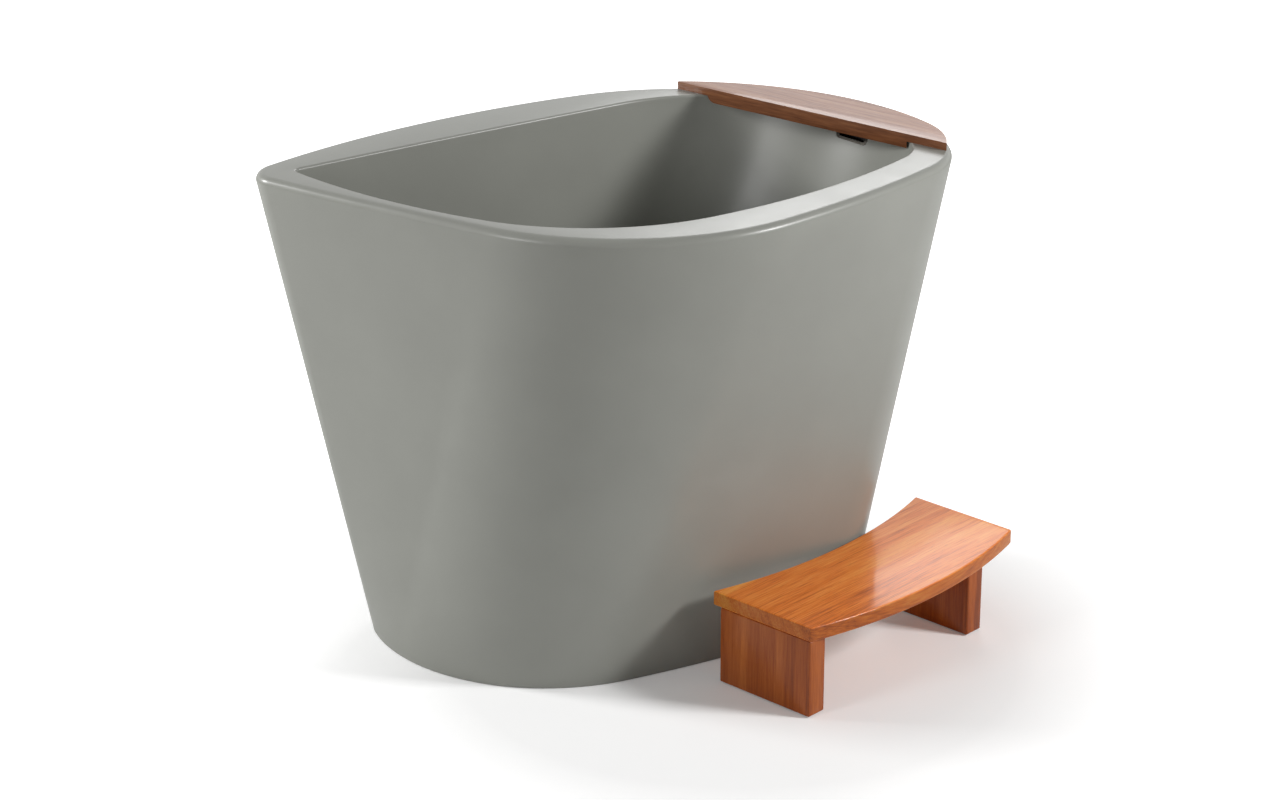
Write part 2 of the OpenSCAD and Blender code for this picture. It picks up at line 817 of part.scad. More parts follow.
module overflow_lower_nut() {
    color(black_plastic)
        in_pipe_plane(inlet_end - lower_nut_grip, inlet_level)
            rotate([0, 90, 0])
                difference() {
                    cylinder(r = lower_nut_corner, h = lower_nut_h, $fn = octagon);
                    translate([0, 0, -eps]) cylinder(r = socket_r, h = lower_nut_h + 2*eps);
                    translate([0, 0, -eps])
                        cylinder(r = inlet_r + running_play, h = lower_nut_grip + eps);
                }
}

// ---- Bowl, board and feet ----

module inner_basin() {
    color(stone)
        difference() {
            basin_casting();
            at_drain() {
                translate([0, 0, under_bowl - overcut])
                    cylinder(r = hole_r, h = floor_thick + 2*overcut);
                translate([0, 0, recess_level])
                    cylinder(r = flange_r + recess_play, h = recess + overcut);
            }
            at_overflow() {
                slot_bar(sleeve_w + 2*sleeve_play, sleeve_h + 2*sleeve_play, -wall, 2*wall);
                slot_bar(frame_w + 2*frame_play, frame_h + 2*frame_play, -wall, front_seat);
                slot_bar(box_w + 2*box_play, box_h + 2*box_play, back_seat, 2*wall);
            }
        }
}

board_low = under_bowl - board_thick;
board_hole_play = 8;
board_hole_r = flange_r + board_hole_play;
board_edge = bowl_inset + bowl_round*cos(wall_lean) + board_inset;

module base_board() {
    color(board_wood)
        difference() {
            translate([0, 0, board_low])
                linear_extrude(board_thick) {
                    polygon(ring(base, board_edge));
                    translate([drain_x, drain_y]) circle(r = board_hole_r + board_collar);
                }
            at_drain()
                translate([0, 0, board_low - overcut])
                    cylinder(r = board_hole_r, h = board_thick + 2*overcut);
        }
}

feet_right = base_right - board_edge - feet_end_inset;
feet_left = base_left + board_edge + feet_end_inset;
feet_far = base_far_w - feet_side_inset;
feet_near = feet_side_inset - base_near_w;
feet = [[0, 0], [feet_right, feet_far], [feet_left, feet_far],
        [feet_left, feet_near], [feet_right, feet_near]];
sole_bevel = 1;
sole_slope = 6;

module support_foot(i) {
    color(rubber)
        translate([feet[i - 1].x, feet[i - 1].y, 0])
            rotate_extrude()
                polygon([[0, 0], [sole_r - sole_bevel, 0], [sole_r, sole_bevel],
                         [sole_r, sole_h], [foot_r, sole_h + sole_slope],
                         [foot_r, board_low], [0, board_low]]);
}

// ---- Shelf ----

shelf_low = tub_height - shelf_drop;
front_middle = shelf_front*[cos(shelf_az), sin(shelf_az)];
// How far the board and its thicker middle run to the left along the front edge
board_reach = reach(ring(rim, shelf_inset), front_middle, shelf_az + quarter_turn);
middle_reach = reach(ring(inner, shelf_play), front_middle, shelf_az + quarter_turn);

// Frame of the shelf: +X across its front edge, +Y along that edge to the left
module at_shelf() {
    rotate([0, 0, shelf_az]) children();
}

// Everything behind the front edge, between two heights and up to its left end
module beyond_front(low, high, left) {
    at_shelf()
        translate([shelf_front, left - far_away, low])
            cube([far_away, far_away, high - low]);
}

module shelf_board() {
    end_run = sqrt(shelf_end_r*shelf_end_r - pow(shelf_end_r - shelf_drop, 2));
    round_at = middle_reach - end_run;
    color(timber)
        union() {
            intersection() {
                translate([0, 0, tub_height])
                    linear_extrude(shelf_thick) polygon(ring(rim, shelf_inset));
                beyond_front(tub_height - overcut, tub_height + shelf_thick + overcut,
                             board_reach - shelf_tip_cut);
            }
            intersection() {
                translate([0, 0, shelf_low])
                    linear_extrude(shelf_drop + overcut) polygon(ring(inner, shelf_play));
                union() {
                    beyond_front(shelf_low - overcut, tub_height + 2*overcut, round_at);
                    at_shelf()
                        translate([shelf_front, round_at, shelf_low + shelf_end_r])
                            rotate([0, 90, 0]) cylinder(r = shelf_end_r, h = far_away);
                }
            }
        }
}

// ---- Step ----

step_from = [step_from_x, step_from_y];
// Depth of a curved long edge behind its apex, at a place along the step
function step_bow(y) = step_curve - sqrt(step_curve*step_curve - y*y);
// The skirt's outline at the step's top, in the step's frame
wall_by_step = [for (p = skirt_ring(step_height))
                    let(d = p - step_from)
                    [cos(step_az)*d.x + sin(step_az)*d.y, cos(step_az)*d.y - sin(step_az)*d.x]];
step_near = step_gap + max([for (p = wall_by_step)
                                if (abs(p.y) < step_length/2) p.x + step_bow(p.y)]);
step_far = step_near + step_depth;
step_sag = step_bow(step_length/2);
leg_front = step_far - step_sag;
leg_top = step_height - step_thick;
leg_mid = leg_front - leg_depth/2;
left_leg_y = -step_length/2;
right_leg_y = step_length/2 - leg_inset - leg_thick;
dowel_shift = 3;
dowel_low = leg_top - dowel_length/2 - dowel_shift;
// Room round a dowel at its sides and its ends
dowel_play = 0.1;
dowel_end_play = 0.5;
arc_steps = 360;

// Frame of the step: +X away from the tub, +Y along the step to its right end
module at_step() {
    translate([step_from_x, step_from_y, 0]) rotate([0, 0, step_az]) children();
}

module dowels_of_leg(leg_y, side_play = 0, end_play = 0) {
    for (side = [-1, 1])
        translate([leg_mid + side*dowel_pitch/2, leg_y + leg_thick/2, dowel_low - end_play])
            cylinder(r = dowel_r + side_play, h = dowel_length + 2*end_play);
}

module dowel_holes(leg_y) {
    dowels_of_leg(leg_y, dowel_play, dowel_end_play);
}

module step_top() {
    color(timber)
        at_step()
            difference() {
                translate([0, 0, leg_top])
                    linear_extrude(step_thick)
                        difference() {
                            intersection() {
                                translate([step_far - step_curve, 0])
                                    circle(r = step_curve, $fn = arc_steps);
                                translate([0, -step_length/2]) square([far_away, step_length]);
                            }
                            translate([step_near - step_curve, 0])
                                circle(r = step_curve, $fn = arc_steps);
                        }
                dowel_holes(left_leg_y);
                dowel_holes(right_leg_y);
            }
}

module step_leg(leg_y) {
    color(timber)
        at_step()
            difference() {
                translate([leg_front - leg_depth, leg_y, pad_thick])
                    cube([leg_depth, leg_thick, leg_top - pad_thick]);
                dowel_holes(leg_y);
            }
}

module step_dowels() {
    color(timber)
        at_step() {
            dowels_of_leg(left_leg_y);
            dowels_of_leg(right_leg_y);
        }
}

module step_pad(leg_y, side) {
    color(rubber)
        at_step()
            translate([leg_mid + side*pad_pitch/2, leg_y + leg_thick/2, 0])
                cylinder(r = pad_r, h = pad_thick);
}

outer_shell();
inner_basin();
base_board();
support_foot(1);  // support_foot_1
support_foot(2);  // support_foot_2
support_foot(3);  // support_foot_3
support_foot(4);  // support_foot_4
support_foot(5);  // support_foot_5
drain_flange();
drain_upper_washer();
drain_lower_washer();
drain_locknut();
drain_tee();
click_barrel();
plug_cap();
plug_stem();
plug_seal();
overflow_trim();
overflow_gasket();
overflow_box();
overflow_upper_nut();
overflow_pipe();
overflow_bend();
overflow_link();
overflow_lower_nut();
shelf_board();
step_top();
step_leg(left_leg_y);  // step_leg_left
step_leg(right_leg_y);  // step_leg_right
step_dowels();
step_pad(left_leg_y, -1);  // step_pad_1
step_pad(left_leg_y, 1);  // step_pad_2
step_pad(right_leg_y, -1);  // step_pad_3
step_pad(right_leg_y, 1);  // step_pad_4
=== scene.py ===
"""Looks of a soaking bath with a corner shelf and a step, dressed round its fixed frame.

Every length is in metres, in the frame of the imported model: the origin is on the floor
under the middle of the rim, +X runs to the bath's rounded end, +Y away from the step.
"""

import logging
import math
from dataclasses import dataclass
from enum import Enum
from typing import Any, ClassVar, Sequence

import bmesh
import bpy
import numpy as np
from mathutils import Matrix, Vector


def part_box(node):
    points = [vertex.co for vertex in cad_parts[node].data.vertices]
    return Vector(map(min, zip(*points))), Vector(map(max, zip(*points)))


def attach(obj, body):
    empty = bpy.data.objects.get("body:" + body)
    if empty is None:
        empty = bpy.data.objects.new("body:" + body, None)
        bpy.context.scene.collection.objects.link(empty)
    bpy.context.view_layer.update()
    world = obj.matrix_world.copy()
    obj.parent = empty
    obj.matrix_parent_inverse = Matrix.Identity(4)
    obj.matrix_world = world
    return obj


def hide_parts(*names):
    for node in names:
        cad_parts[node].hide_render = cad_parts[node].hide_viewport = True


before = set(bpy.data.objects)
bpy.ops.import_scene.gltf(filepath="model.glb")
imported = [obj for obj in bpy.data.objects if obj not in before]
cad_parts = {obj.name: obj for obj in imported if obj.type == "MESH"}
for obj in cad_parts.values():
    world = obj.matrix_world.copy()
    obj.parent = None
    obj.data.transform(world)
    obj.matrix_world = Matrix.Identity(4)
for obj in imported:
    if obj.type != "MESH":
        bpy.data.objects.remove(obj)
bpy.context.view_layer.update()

LOG = logging.getLogger("bath")

# Points closer than this are merged once a modifier is applied.
SMALLEST_EDGE = 5e-6

# Most values of a noise lie in this range.
NOISE_SPAN = (0.3, 0.7)

Colour = tuple[float, float, float]
Point = tuple[float, float, float]
Triple = tuple[float, float, float]
Pair = tuple[float, float]

WHITE: Colour = (1.0, 1.0, 1.0)


# ---------------------------------------------------------------- mesh helpers


def heading(angle: np.ndarray | float) -> np.ndarray:
    """Unit vectors at angles in radians, measured from +Y towards +X."""
    return np.stack([np.sin(angle), np.cos(angle)], axis=-1)


def raised(points: np.ndarray, z: float) -> np.ndarray:
    """The plan points as 3-D points at a height."""
    return np.column_stack([points, np.full(len(points), z)])


def skin_faces(rings: int, size: int) -> list[tuple[int, ...]]:
    """Quads between rings of equal length, each ring one step outside or above the last.

    Args:
        rings: How many rings there are.
        size: How many points each ring has.

    Returns:
        The faces as tuples of point indices.
    """
    faces = []
    for i in range(rings - 1):
        low, high = i * size, (i + 1) * size
        for j in range(size):
            k = (j + 1) % size
            faces.append((low + j, low + k, high + k, high + j))
    return faces


def new_object(name: str, points: np.ndarray, faces: Sequence[Sequence[int]]) -> bpy.types.Object:
    """A mesh object in the scene, from points and faces.

    Args:
        name: The piece's name.
        points: Its vertices, one row each.
        faces: Its faces as indices of vertices.

    Returns:
        The new object, linked to the scene.
    """
    mesh = bpy.data.meshes.new(name)
    mesh.from_pydata([tuple(p) for p in points], [], [tuple(f) for f in faces])
    mesh.validate()
    obj = bpy.data.objects.new(name, mesh)
    bpy.context.scene.collection.objects.link(obj)
    return obj


def lofted(name: str, rings: Sequence[np.ndarray]) -> bpy.types.Object:
    """A closed mesh through rings, with flat faces over the first and the last.

    Args:
        name: The piece's name.
        rings: Rings of equal length, anticlockwise from above for a skin built upwards.

    Returns:
        The new object.
    """
    size = len(rings[0])
    faces = skin_faces(len(rings), size)
    faces.append(tuple(reversed(range(size))))
    faces.append(tuple((len(rings) - 1) * size + j for j in range(size)))
    return new_object(name, np.vstack(rings), faces)


def prism(name: str, outline: np.ndarray, low: float, high: float) -> bpy.types.Object:
    """An upright solid over a plan outline, between two heights."""
    return lofted(name, [raised(outline, low), raised(outline, high)])


def modified(obj: bpy.types.Object) -> None:
    """Replaces an object's mesh by its mesh with all modifiers applied, without tiny faces.

    Args:
        obj: The object that changes.
    """
    bpy.context.view_layer.update()
    depsgraph = bpy.context.evaluated_depsgraph_get()
    mesh = bpy.data.meshes.new_from_object(obj.evaluated_get(depsgraph))
    obj.modifiers.clear()
    obj.data = mesh
    work = bmesh.new()
    work.from_mesh(mesh)
    bmesh.ops.remove_doubles(work, verts=work.verts, dist=SMALLEST_EDGE)
    bmesh.ops.dissolve_degenerate(work, edges=work.edges, dist=SMALLEST_EDGE)
    work.to_mesh(mesh)
    work.free()


def combined(obj: bpy.types.Object, tool: bpy.types.Object, operation: str) -> None:
    """Joins or cuts an object with another, which is then deleted.

    Args:
        obj: The object that changes.
        tool: The object that it is joined or cut with.
        operation: UNION, DIFFERENCE or INTERSECT.
    """
    modifier = obj.modifiers.new("combine", "BOOLEAN")
    modifier.operation = operation
    modifier.solver = "EXACT"
    modifier.object = tool
    modified(obj)
    bpy.data.objects.remove(tool)


def bevelled(obj: bpy.types.Object, width: float, segments: int = 4, above: float = 35.0) -> None:
    """Rounds every edge that is sharper than an angle.

    Args:
        obj: The object that changes.
        width: Width of the rounding.
        segments: Faces across the rounding.
        above: Smallest angle between two faces, in degrees, that gets rounded.
    """
    modifier = obj.modifiers.new("round", "BEVEL")
    modifier.width = width
    modifier.segments = segments
    modifier.limit_method = "ANGLE"
    modifier.angle_limit = math.radians(above)
    modifier.harden_normals = False
    modified(obj)


def smoothed(obj: bpy.types.Object, sharp_above: float = 32.0) -> None:
    """Shades an object smooth, with its edges above an angle in degrees left sharp."""
    obj.data.shade_smooth()
    obj.data.set_sharp_from_angle(angle=math.radians(sharp_above))


def dressed(obj: bpy.types.Object, material: bpy.types.Material) -> None:
    """Gives an object one material, in place of any that it has."""
    obj.data.materials.clear()
    obj.data.materials.append(material)


# ---------------------------------------------------------------- node helpers


class Nodes:
    """A node tree, with short ways to add and join its nodes."""

    def __init__(self, tree: bpy.types.NodeTree) -> None:
        """Takes over a tree and empties it.

        Args:
            tree: The node tree of a material or a world.
        """
        self.tree = tree
        tree.nodes.clear()

    def put(self, socket: Any, value: Any) -> None:
        """Sets a socket to a value, or joins it to another socket.

        Args:
            socket: The input socket.
            value: A value, or the output socket that it is joined to.
        """
        if isinstance(value, bpy.types.NodeSocket):
            self.tree.links.new(value, socket)
        else:
            socket.default_value = value

    def add(self, kind: str, inputs: dict[Any, Any] | None = None, **settings: Any) -> Any:
        """Adds a node.

        Args:
            kind: The node's type, without its common beginning.
            inputs: Values or sockets for its inputs, by name or number.
            **settings: The node's own properties.

        Returns:
            The new node.
        """
        node = self.tree.nodes.new("ShaderNode" + kind)
        for key, value in settings.items():
            setattr(node, key, value)
        for key, value in (inputs or {}).items():
            self.put(node.inputs[key], value)
        return node

    def maths(self, operation: str, *values: Any) -> Any:
        """The result socket of a Math node on the values."""
        return self.add("Math", dict(enumerate(values)), operation=operation).outputs[0]

    def blend(self, share: Any, first: Any, second: Any, mode: str = "MIX") -> Any:
        """Mixes two colours.

        Args:
            share: Share of the second colour.
            first: The first colour.
            second: The second colour.
            mode: How they are mixed.

        Returns:
            The result socket.
        """
        node = self.add("Mix", data_type="RGBA", blend_type=mode)
        self.put(node.inputs["Factor"], share)
        self.put(node.inputs[6], first)
        self.put(node.inputs[7], second)
        return node.outputs[2]

    def ranged(self, value: Any, low: float, high: float, to_low: float, to_high: float) -> Any:
        """The value moved from one range to another and held inside it."""
        inputs = {"Value": value, "From Min": low, "From Max": high, "To Min": to_low, "To Max": to_high}
        return self.add("MapRange", inputs).outputs["Result"]

    def around(self, value: Any, middle: float, drift: float) -> Any:
        """A noise's value, moved to a range that reaches as far either way from a middle."""
        return self.ranged(value, *NOISE_SPAN, middle - drift, middle + drift)

    def noise(self, vector: Any, scale: float, detail: float = 2.0, rough: float = 0.5) -> Any:
        """The factor socket of a Noise Texture."""
        inputs = {"Vector": vector, "Scale": scale, "Detail": detail, "Roughness": rough}
        return self.add("TexNoise", inputs).outputs[0]


class Shader(Nodes):
    """A material's node tree, which ends in a Principled shader."""

    def __init__(self, name: str) -> None:
        """Starts a material with an empty tree and its output node.

        Args:
            name: The material's name.
        """
        self.material = bpy.data.materials.new(name)
        self.material.use_nodes = True
        super().__init__(self.material.node_tree)
        self.output = self.add("OutputMaterial")

    def placed(self, turn: float = 0.0, lean: Pair = (0.0, 0.0),
               scale: Triple = (1, 1, 1)) -> Any:
        """The object's own coordinates, turned about Z, then leaned and scaled.

        Args:
            turn: Angle in degrees that turns the object about Z.
            lean: Angles in degrees that then turn it about X and after that about Y.
            scale: Factors along the texture's axes.

        Returns:
            The vector socket.
        """
        coords = self.add("TexCoord").outputs["Object"]
        upright = self.add("Mapping", {"Vector": coords, "Rotation": (0.0, 0.0, math.radians(turn))})
        angles = (math.radians(lean[0]), math.radians(lean[1]), 0.0)
        leaned = self.add("Mapping", {"Vector": upright.outputs[0], "Rotation": angles})
        scaled = self.add("VectorMath", {0: leaned.outputs[0], 1: scale}, operation="MULTIPLY")
        return scaled.outputs[0]

    def shifted(self, vector: Any, drift: Any, amount: Triple) -> Any:
        """Moves a vector by a colour noise about the noise's middle.

        Args:
            vector: The vector.
            drift: The colour noise.
            amount: How far the noise moves it along each axis.

        Returns:
            The socket of the moved vector.
        """
        centred = self.add("VectorMath", {0: drift, 1: (0.5, 0.5, 0.5)}, operation="SUBTRACT")
        sized = self.add("VectorMath", {0: centred.outputs[0], 1: amount}, operation="MULTIPLY")
        return self.add("VectorMath", {0: vector, 1: sized.outputs[0]}, operation="ADD").outputs[0]

    def bump(self, height: Any, strength: float, distance: float) -> Any:
        """The normal socket of a Bump node."""
        node = self.add("Bump", {"Height": height, "Strength": strength, "Distance": distance})
        return node.outputs[0]

    def surface(self, **inputs: Any) -> bpy.types.Material:
        """Ends the tree in a Principled shader.

        Args:
            **inputs: Values or sockets for its inputs, with _ for each space in a name.

        Returns:
            The material.
        """
        shader = self.add("BsdfPrincipled")
        for key, value in inputs.items():
            self.put(shader.inputs[key.replace("_", " ")], value)
        self.tree.links.new(shader.outputs[0], self.output.inputs["Surface"])
        return self.material


def rgba(colour: Colour, factor: float = 1.0) -> tuple[float, float, float, float]:
    """The colour times a factor, held at white, with full opacity."""
    return (*(min(1.0, value * factor) for value in colour), 1.0)


# ---------------------------------------------------------------- finishes


@dataclass(frozen=True)
class CastStoneFinish:
    """Satin cast stone: almost even in colour, with faint clouds and a fine matt grain."""

    colour: Colour = (0.262, 0.266, 0.240)
    cloud: float = 0.035
    cloud_scale: float = 5.0
    speck_tone: float = 0.8
    speck_span: Pair = (0.62, 0.75)
    speck_cover: float = 0.25
    roughness: float = 0.32
    drift: float = 0.02
    drift_scale: float = 14.0
    gloss: float = 0.40
    grain_size: float = 0.0012
    relief: Pair = (0.05, 0.0004)

    def build(self) -> bpy.types.Material:
        """Makes the material.

        Returns:
            The material.
        """
        s = Shader("cast_stone")
        at = s.placed()
        clouds = s.noise(at, self.cloud_scale, detail=3.0, rough=0.55)
        specks = s.noise(at, 1 / self.grain_size / 2, detail=2.0, rough=0.6)
        dark, light = rgba(self.colour, 1 - self.cloud), rgba(self.colour, 1 + self.cloud)
        base = s.blend(s.ranged(clouds, *NOISE_SPAN, 0.0, 1.0), dark, light)
        speck_share = s.ranged(specks, *self.speck_span, 0.0, self.speck_cover)
        tint = s.blend(speck_share, base, rgba(self.colour, self.speck_tone))
        rough = s.around(s.noise(at, self.drift_scale, detail=2.0), self.roughness, self.drift)
        grain = s.noise(at, 1 / self.grain_size, detail=3.0, rough=0.6)
        return s.surface(
            Base_Color=tint, Roughness=rough, Specular_IOR_Level=self.gloss,
            Normal=s.bump(grain, *self.relief),
        )


class GrainRun(Enum):
    """Which way a board's grain runs: its turn about Z and its rise from the floor, in degrees.

    In the wood's own axes the grain runs along Y, X crosses the board and Z goes through it.
    """

    STEP_TOP = (51.6, 0.0)
    STEP_LEG = (51.6, 90.0)
    SHELF = (-41.6, 0.0)
    BASE = (90.0, 0.0)


@dataclass(frozen=True)
class StainedWoodFinish:
    """Varnished reddish-brown wood: drifting tones, growth lines, fibres and fine pores, with painted
    shade on its upright faces.

    Attributes:
        name: The material's name.
        grain: How the grain runs.
        dark: Colour of the late wood.
        middle: Colour between the late and the early wood.
        light: Colour of the early wood.
        stops: Places of those three on the scale of tones.
        ring_tilt: Tilt of the growth lines in the end grain, in degrees.
        tones: Tones per metre across, along and through the growth lines.
        lines: Growth lines per metre, in the same order.
        fibres: Fibres per metre, in the same order.
        pores: Pores per metre, in the same order.
        wander: Bends of the grain per metre, in the same order.
        bend: How far the grain bends.
        contrast: Weights of the tones, the lines and the fibres.
        painted_edge_shade: Brightness of the upright faces, darkened as painted shade where they get less
            light than the top; only on end grain is part of it the real extra stain that end grain soaks
            up: 1 is as the rest.
        painted_shade_span: Range of a normal's upward share over which that painted shade fades out.
        pore_span: Range of the noise over which a pore fades in.
        pore_cover: Weight of a pore at its middle.
        pore_tone: Brightness of a pore, as a share of the late wood's.
        roughness: Roughness of the wood under the varnish.
        drift: How far the roughness follows the growth lines.
        gloss: Specular level of the wood under the varnish.
        coat: Weight of the varnish.
        coat_roughness: Roughness of the varnish.
        coat_ior: Refractive index of the varnish.
        relief: Strength and depth of the bump of fibres and pores.
    """

    name: str
    grain: GrainRun
    dark: Colour = (0.330, 0.062, 0.008)
    middle: Colour = (0.760, 0.185, 0.018)
    light: Colour = (0.900, 0.360, 0.060)
    stops: Triple = (0.16, 0.50, 0.86)
    ring_tilt: float = 34.0
    tones: Triple = (15.0, 0.9, 5.0)
    lines: Triple = (95.0, 2.2, 16.0)
    fibres: Triple = (430.0, 15.0, 220.0)
    pores: Triple = (1500.0, 55.0, 1500.0)
    wander: Triple = (5.0, 1.7, 5.0)
    bend: float = 0.006
    contrast: Triple = (0.42, 0.34, 0.46)
    painted_edge_shade: float = 1.0
    painted_shade_span: Pair = (0.3, 0.8)
    pore_span: Pair = (0.64, 0.78)
    pore_cover: float = 0.5
    pore_tone: float = 0.55
    roughness: float = 0.42
    drift: float = 0.05
    gloss: float = 0.12
    coat: float = 0.40
    coat_roughness: float = 0.13
    coat_ior: float = 1.5
    relief: Pair = (0.10, 0.0002)

    def layer(self, s: Shader, drift: Any, scale: Triple, detail: float, rough: float) -> Any:
        """A noise stretched along the grain and along the growth lines.

        Args:
            s: The material's tree.
            drift: Colour noise that bends the grain.
            scale: Features per metre across, along and through the growth lines.
            detail: Octaves of the noise.
            rough: Weight of its finer octaves.

        Returns:
            The factor socket.
        """
        turn, rise = self.grain.value
        at = s.placed(turn, (rise, self.ring_tilt), scale)
        bend = tuple(self.bend * value for value in scale)
        return s.noise(s.shifted(at, drift, bend), 1.0, detail, rough)

    def build(self) -> bpy.types.Material:
        """Makes the material.

        Returns:
            The material.
        """
        s = Shader(self.name)
        turn, rise = self.grain.value
        slow = s.placed(turn, (rise, self.ring_tilt), self.wander)
        drift = s.add("TexNoise", {"Vector": slow, "Scale": 1.0, "Detail": 2.0}).outputs["Color"]
        tones = self.layer(s, drift, self.tones, detail=3.0, rough=0.5)
        lines = self.layer(s, drift, self.lines, detail=3.0, rough=0.62)
        fibres = self.layer(s, drift, self.fibres, detail=3.0, rough=0.6)
        pores = self.layer(s, drift, self.pores, detail=1.0, rough=0.5)
        tone: Any = 0.5
        for value, weight in zip((tones, lines, fibres), self.contrast):
            part = s.maths("MULTIPLY", s.maths("SUBTRACT", value, 0.5), weight * 2)
            tone = s.maths("ADD", tone, part)
        ramp = s.add("ValToRGB", {"Fac": tone})
        stops = ramp.color_ramp.elements
        dark_at, middle_at, light_at = self.stops
        stops[0].position = dark_at
        stops[0].color = rgba(self.dark)
        stops[1].position = light_at
        stops[1].color = rgba(self.light)
        stops.new(middle_at).color = rgba(self.middle)
        pore_share = s.ranged(pores, *self.pore_span, 0.0, self.pore_cover)
        colour = s.blend(pore_share, ramp.outputs[0], rgba(self.dark, self.pore_tone))
        # Painted shade: upright faces are darkened as if they got less light than the top; only end grain
        # would really take more stain.
        facing = s.add("SeparateXYZ", {0: s.add("TexCoord").outputs["Normal"]}).outputs["Z"]
        painted_shade_factor = s.ranged(s.maths("ABSOLUTE", facing), *self.painted_shade_span, self.painted_edge_shade, 1.0)
        shade = s.add("CombineColor", {0: painted_shade_factor, 1: painted_shade_factor, 2: painted_shade_factor}).outputs[0]
        colour = s.blend(1.0, colour, shade, "MULTIPLY")
        height = s.maths("SUBTRACT", s.maths("MULTIPLY", fibres, 0.5), pore_share)
        rough = s.around(lines, self.roughness, -self.drift)
        return s.surface(
            Base_Color=colour, Roughness=rough, Specular_IOR_Level=self.gloss,
            Coat_Weight=self.coat, Coat_Roughness=self.coat_roughness, Coat_IOR=self.coat_ior,
            Normal=s.bump(height, *self.relief),
        )


@dataclass(frozen=True)
class MetalFinish:
    """Polished or brushed metal with faint smears."""

    name: str
    colour: Colour = (0.78, 0.79, 0.81)
    roughness: float = 0.14
    smear: float = 0.05
    smear_scale: float = 60.0
    smear_tone: float = 0.94
    fine_scale: float = 1800.0
    relief: Pair = (0.03, 0.0001)

    def build(self) -> bpy.types.Material:
        """Makes the material.

        Returns:
            The material.
        """
        s = Shader(self.name)
        at = s.placed()
        smears = s.noise(at, self.smear_scale, detail=3.0, rough=0.6)
        rough = s.around(smears, self.roughness, self.smear)
        fine = s.noise(at, self.fine_scale, detail=2.0)
        tint = s.blend(smears, rgba(self.colour, self.smear_tone), rgba(self.colour))
        return s.surface(
            Base_Color=tint, Metallic=1.0, Roughness=rough,
            Normal=s.bump(fine, *self.relief),
        )


@dataclass(frozen=True)
class MouldedFinish:
    """Moulded rubber or plastic: a dark body with a fine eggshell texture."""

    name: str
    colour: Colour
    roughness: float
    texture: float = 900.0
    relief: Pair = (0.15, 0.0002)
    dust_scale: float = 22.0
    dust_span: Pair = (0.35, 0.75)
    dust_cover: float = 0.35
    dust_tone: float = 1.8
    dust_lift: float = 0.01
    drift: float = 0.06

    def build(self) -> bpy.types.Material:
        """Makes the material.

        Returns:
            The material.
        """
        s = Shader(self.name)
        at = s.placed()
        dust = s.noise(at, self.dust_scale, detail=4.0, rough=0.6)
        dusty = tuple(value * self.dust_tone + self.dust_lift for value in self.colour)
        share = s.ranged(dust, *self.dust_span, 0.0, self.dust_cover)
        tint = s.blend(share, rgba(self.colour), rgba(dusty))
        rough = s.around(dust, self.roughness, self.drift)
        eggshell = s.noise(at, self.texture, detail=2.0)
        return s.surface(
            Base_Color=tint, Roughness=rough,
            Normal=s.bump(eggshell, *self.relief),
        )


# ---------------------------------------------------------------- plan outlines


@dataclass(frozen=True)
class Belly:
    """The widest stretch of one long side of an outline.

    Attributes:
        wide: Distance from the middle line to the belly.
        at: Its place along the length.
        radius: Its radius.
        left: Share of the belly's arc towards the left before the flank takes over.
        right: The same towards the right.
    """

    wide: float
    at: float
    radius: float
    left: float
    right: float


@dataclass(frozen=True)
class Outline:
    """A closed convex plan outline of tangent arcs: two bellies, two ends, four flanks.

    Attributes:
        half: Half of its length.
        left_r: Radius of its left end.
        right_r: Radius of its right end.
        far: Its far belly.
        near: Its near belly.
        shift: Shift of its middle towards the right.
        STEPS: Points on the belly, the flank and the end of each quarter.
    """

    half: float
    left_r: float
    right_r: float
    far: Belly
    near: Belly
    shift: float = 0.0

    STEPS: ClassVar[tuple[int, int, int]] = (20, 16, 26)

    def quarter(self, end_r: float, belly: Belly, side: int, inset: float) -> np.ndarray:
        """Points from the belly's widest point to one end's tip, as if that end lay at +X.

        Args:
            end_r: Radius of the end.
            belly: The belly of that long side.
            side: 1 for the right end and -1 for the left.
            inset: How far the outline is set in.

        Returns:
            The points, one row each.
        """
        share = belly.right if side > 0 else belly.left
        belly_c = np.array([side * belly.at, belly.wide - belly.radius])
        end_c = np.array([self.half - end_r, 0.0])
        gap = belly_c - end_c
        excess = belly.radius - end_r
        # A straight flank touches both arcs at this turn, and a smaller turn makes it an arc.
        spread = math.atan2(gap[1], -gap[0]) + math.asin(min(1.0, excess / np.hypot(*gap)))
        spread *= share
        normal = heading(spread)
        step = (gap @ gap - excess**2) / (2 * (gap @ normal + excess))
        flank_r = belly.radius + step
        flank_c = belly_c - step * normal
        tail = end_c - flank_c
        turn = math.atan2(tail[0], tail[1])
        belly_steps, flank_steps, end_steps = self.STEPS
        on_belly = np.linspace(0, spread, belly_steps, endpoint=False)
        on_flank = np.linspace(spread, turn, flank_steps, endpoint=False)
        on_end = np.linspace(turn, math.pi / 2, end_steps + 1)
        return np.vstack([
            belly_c + (belly.radius - inset) * heading(on_belly),
            flank_c + (flank_r - inset) * heading(on_flank),
            end_c + (end_r - inset) * heading(on_end),
        ])

    def ring(self, inset: float = 0.0) -> np.ndarray:
        """The whole outline, anticlockwise from the right end's tip.

        Args:
            inset: How far it is set in.

        Returns:
            The points, one row each.
        """
        far_right = self.quarter(self.right_r, self.far, 1, inset)
        far_left = self.quarter(self.left_r, self.far, -1, inset) * (-1, 1)
        near_left = self.quarter(self.left_r, self.near, -1, inset) * (-1, -1)
        near_right = self.quarter(self.right_r, self.near, 1, inset) * (1, -1)
        points = np.vstack([far_right[::-1], far_left[1:], near_left[::-1][1:], near_right[1:-1]])
        return points + (self.shift, 0.0)


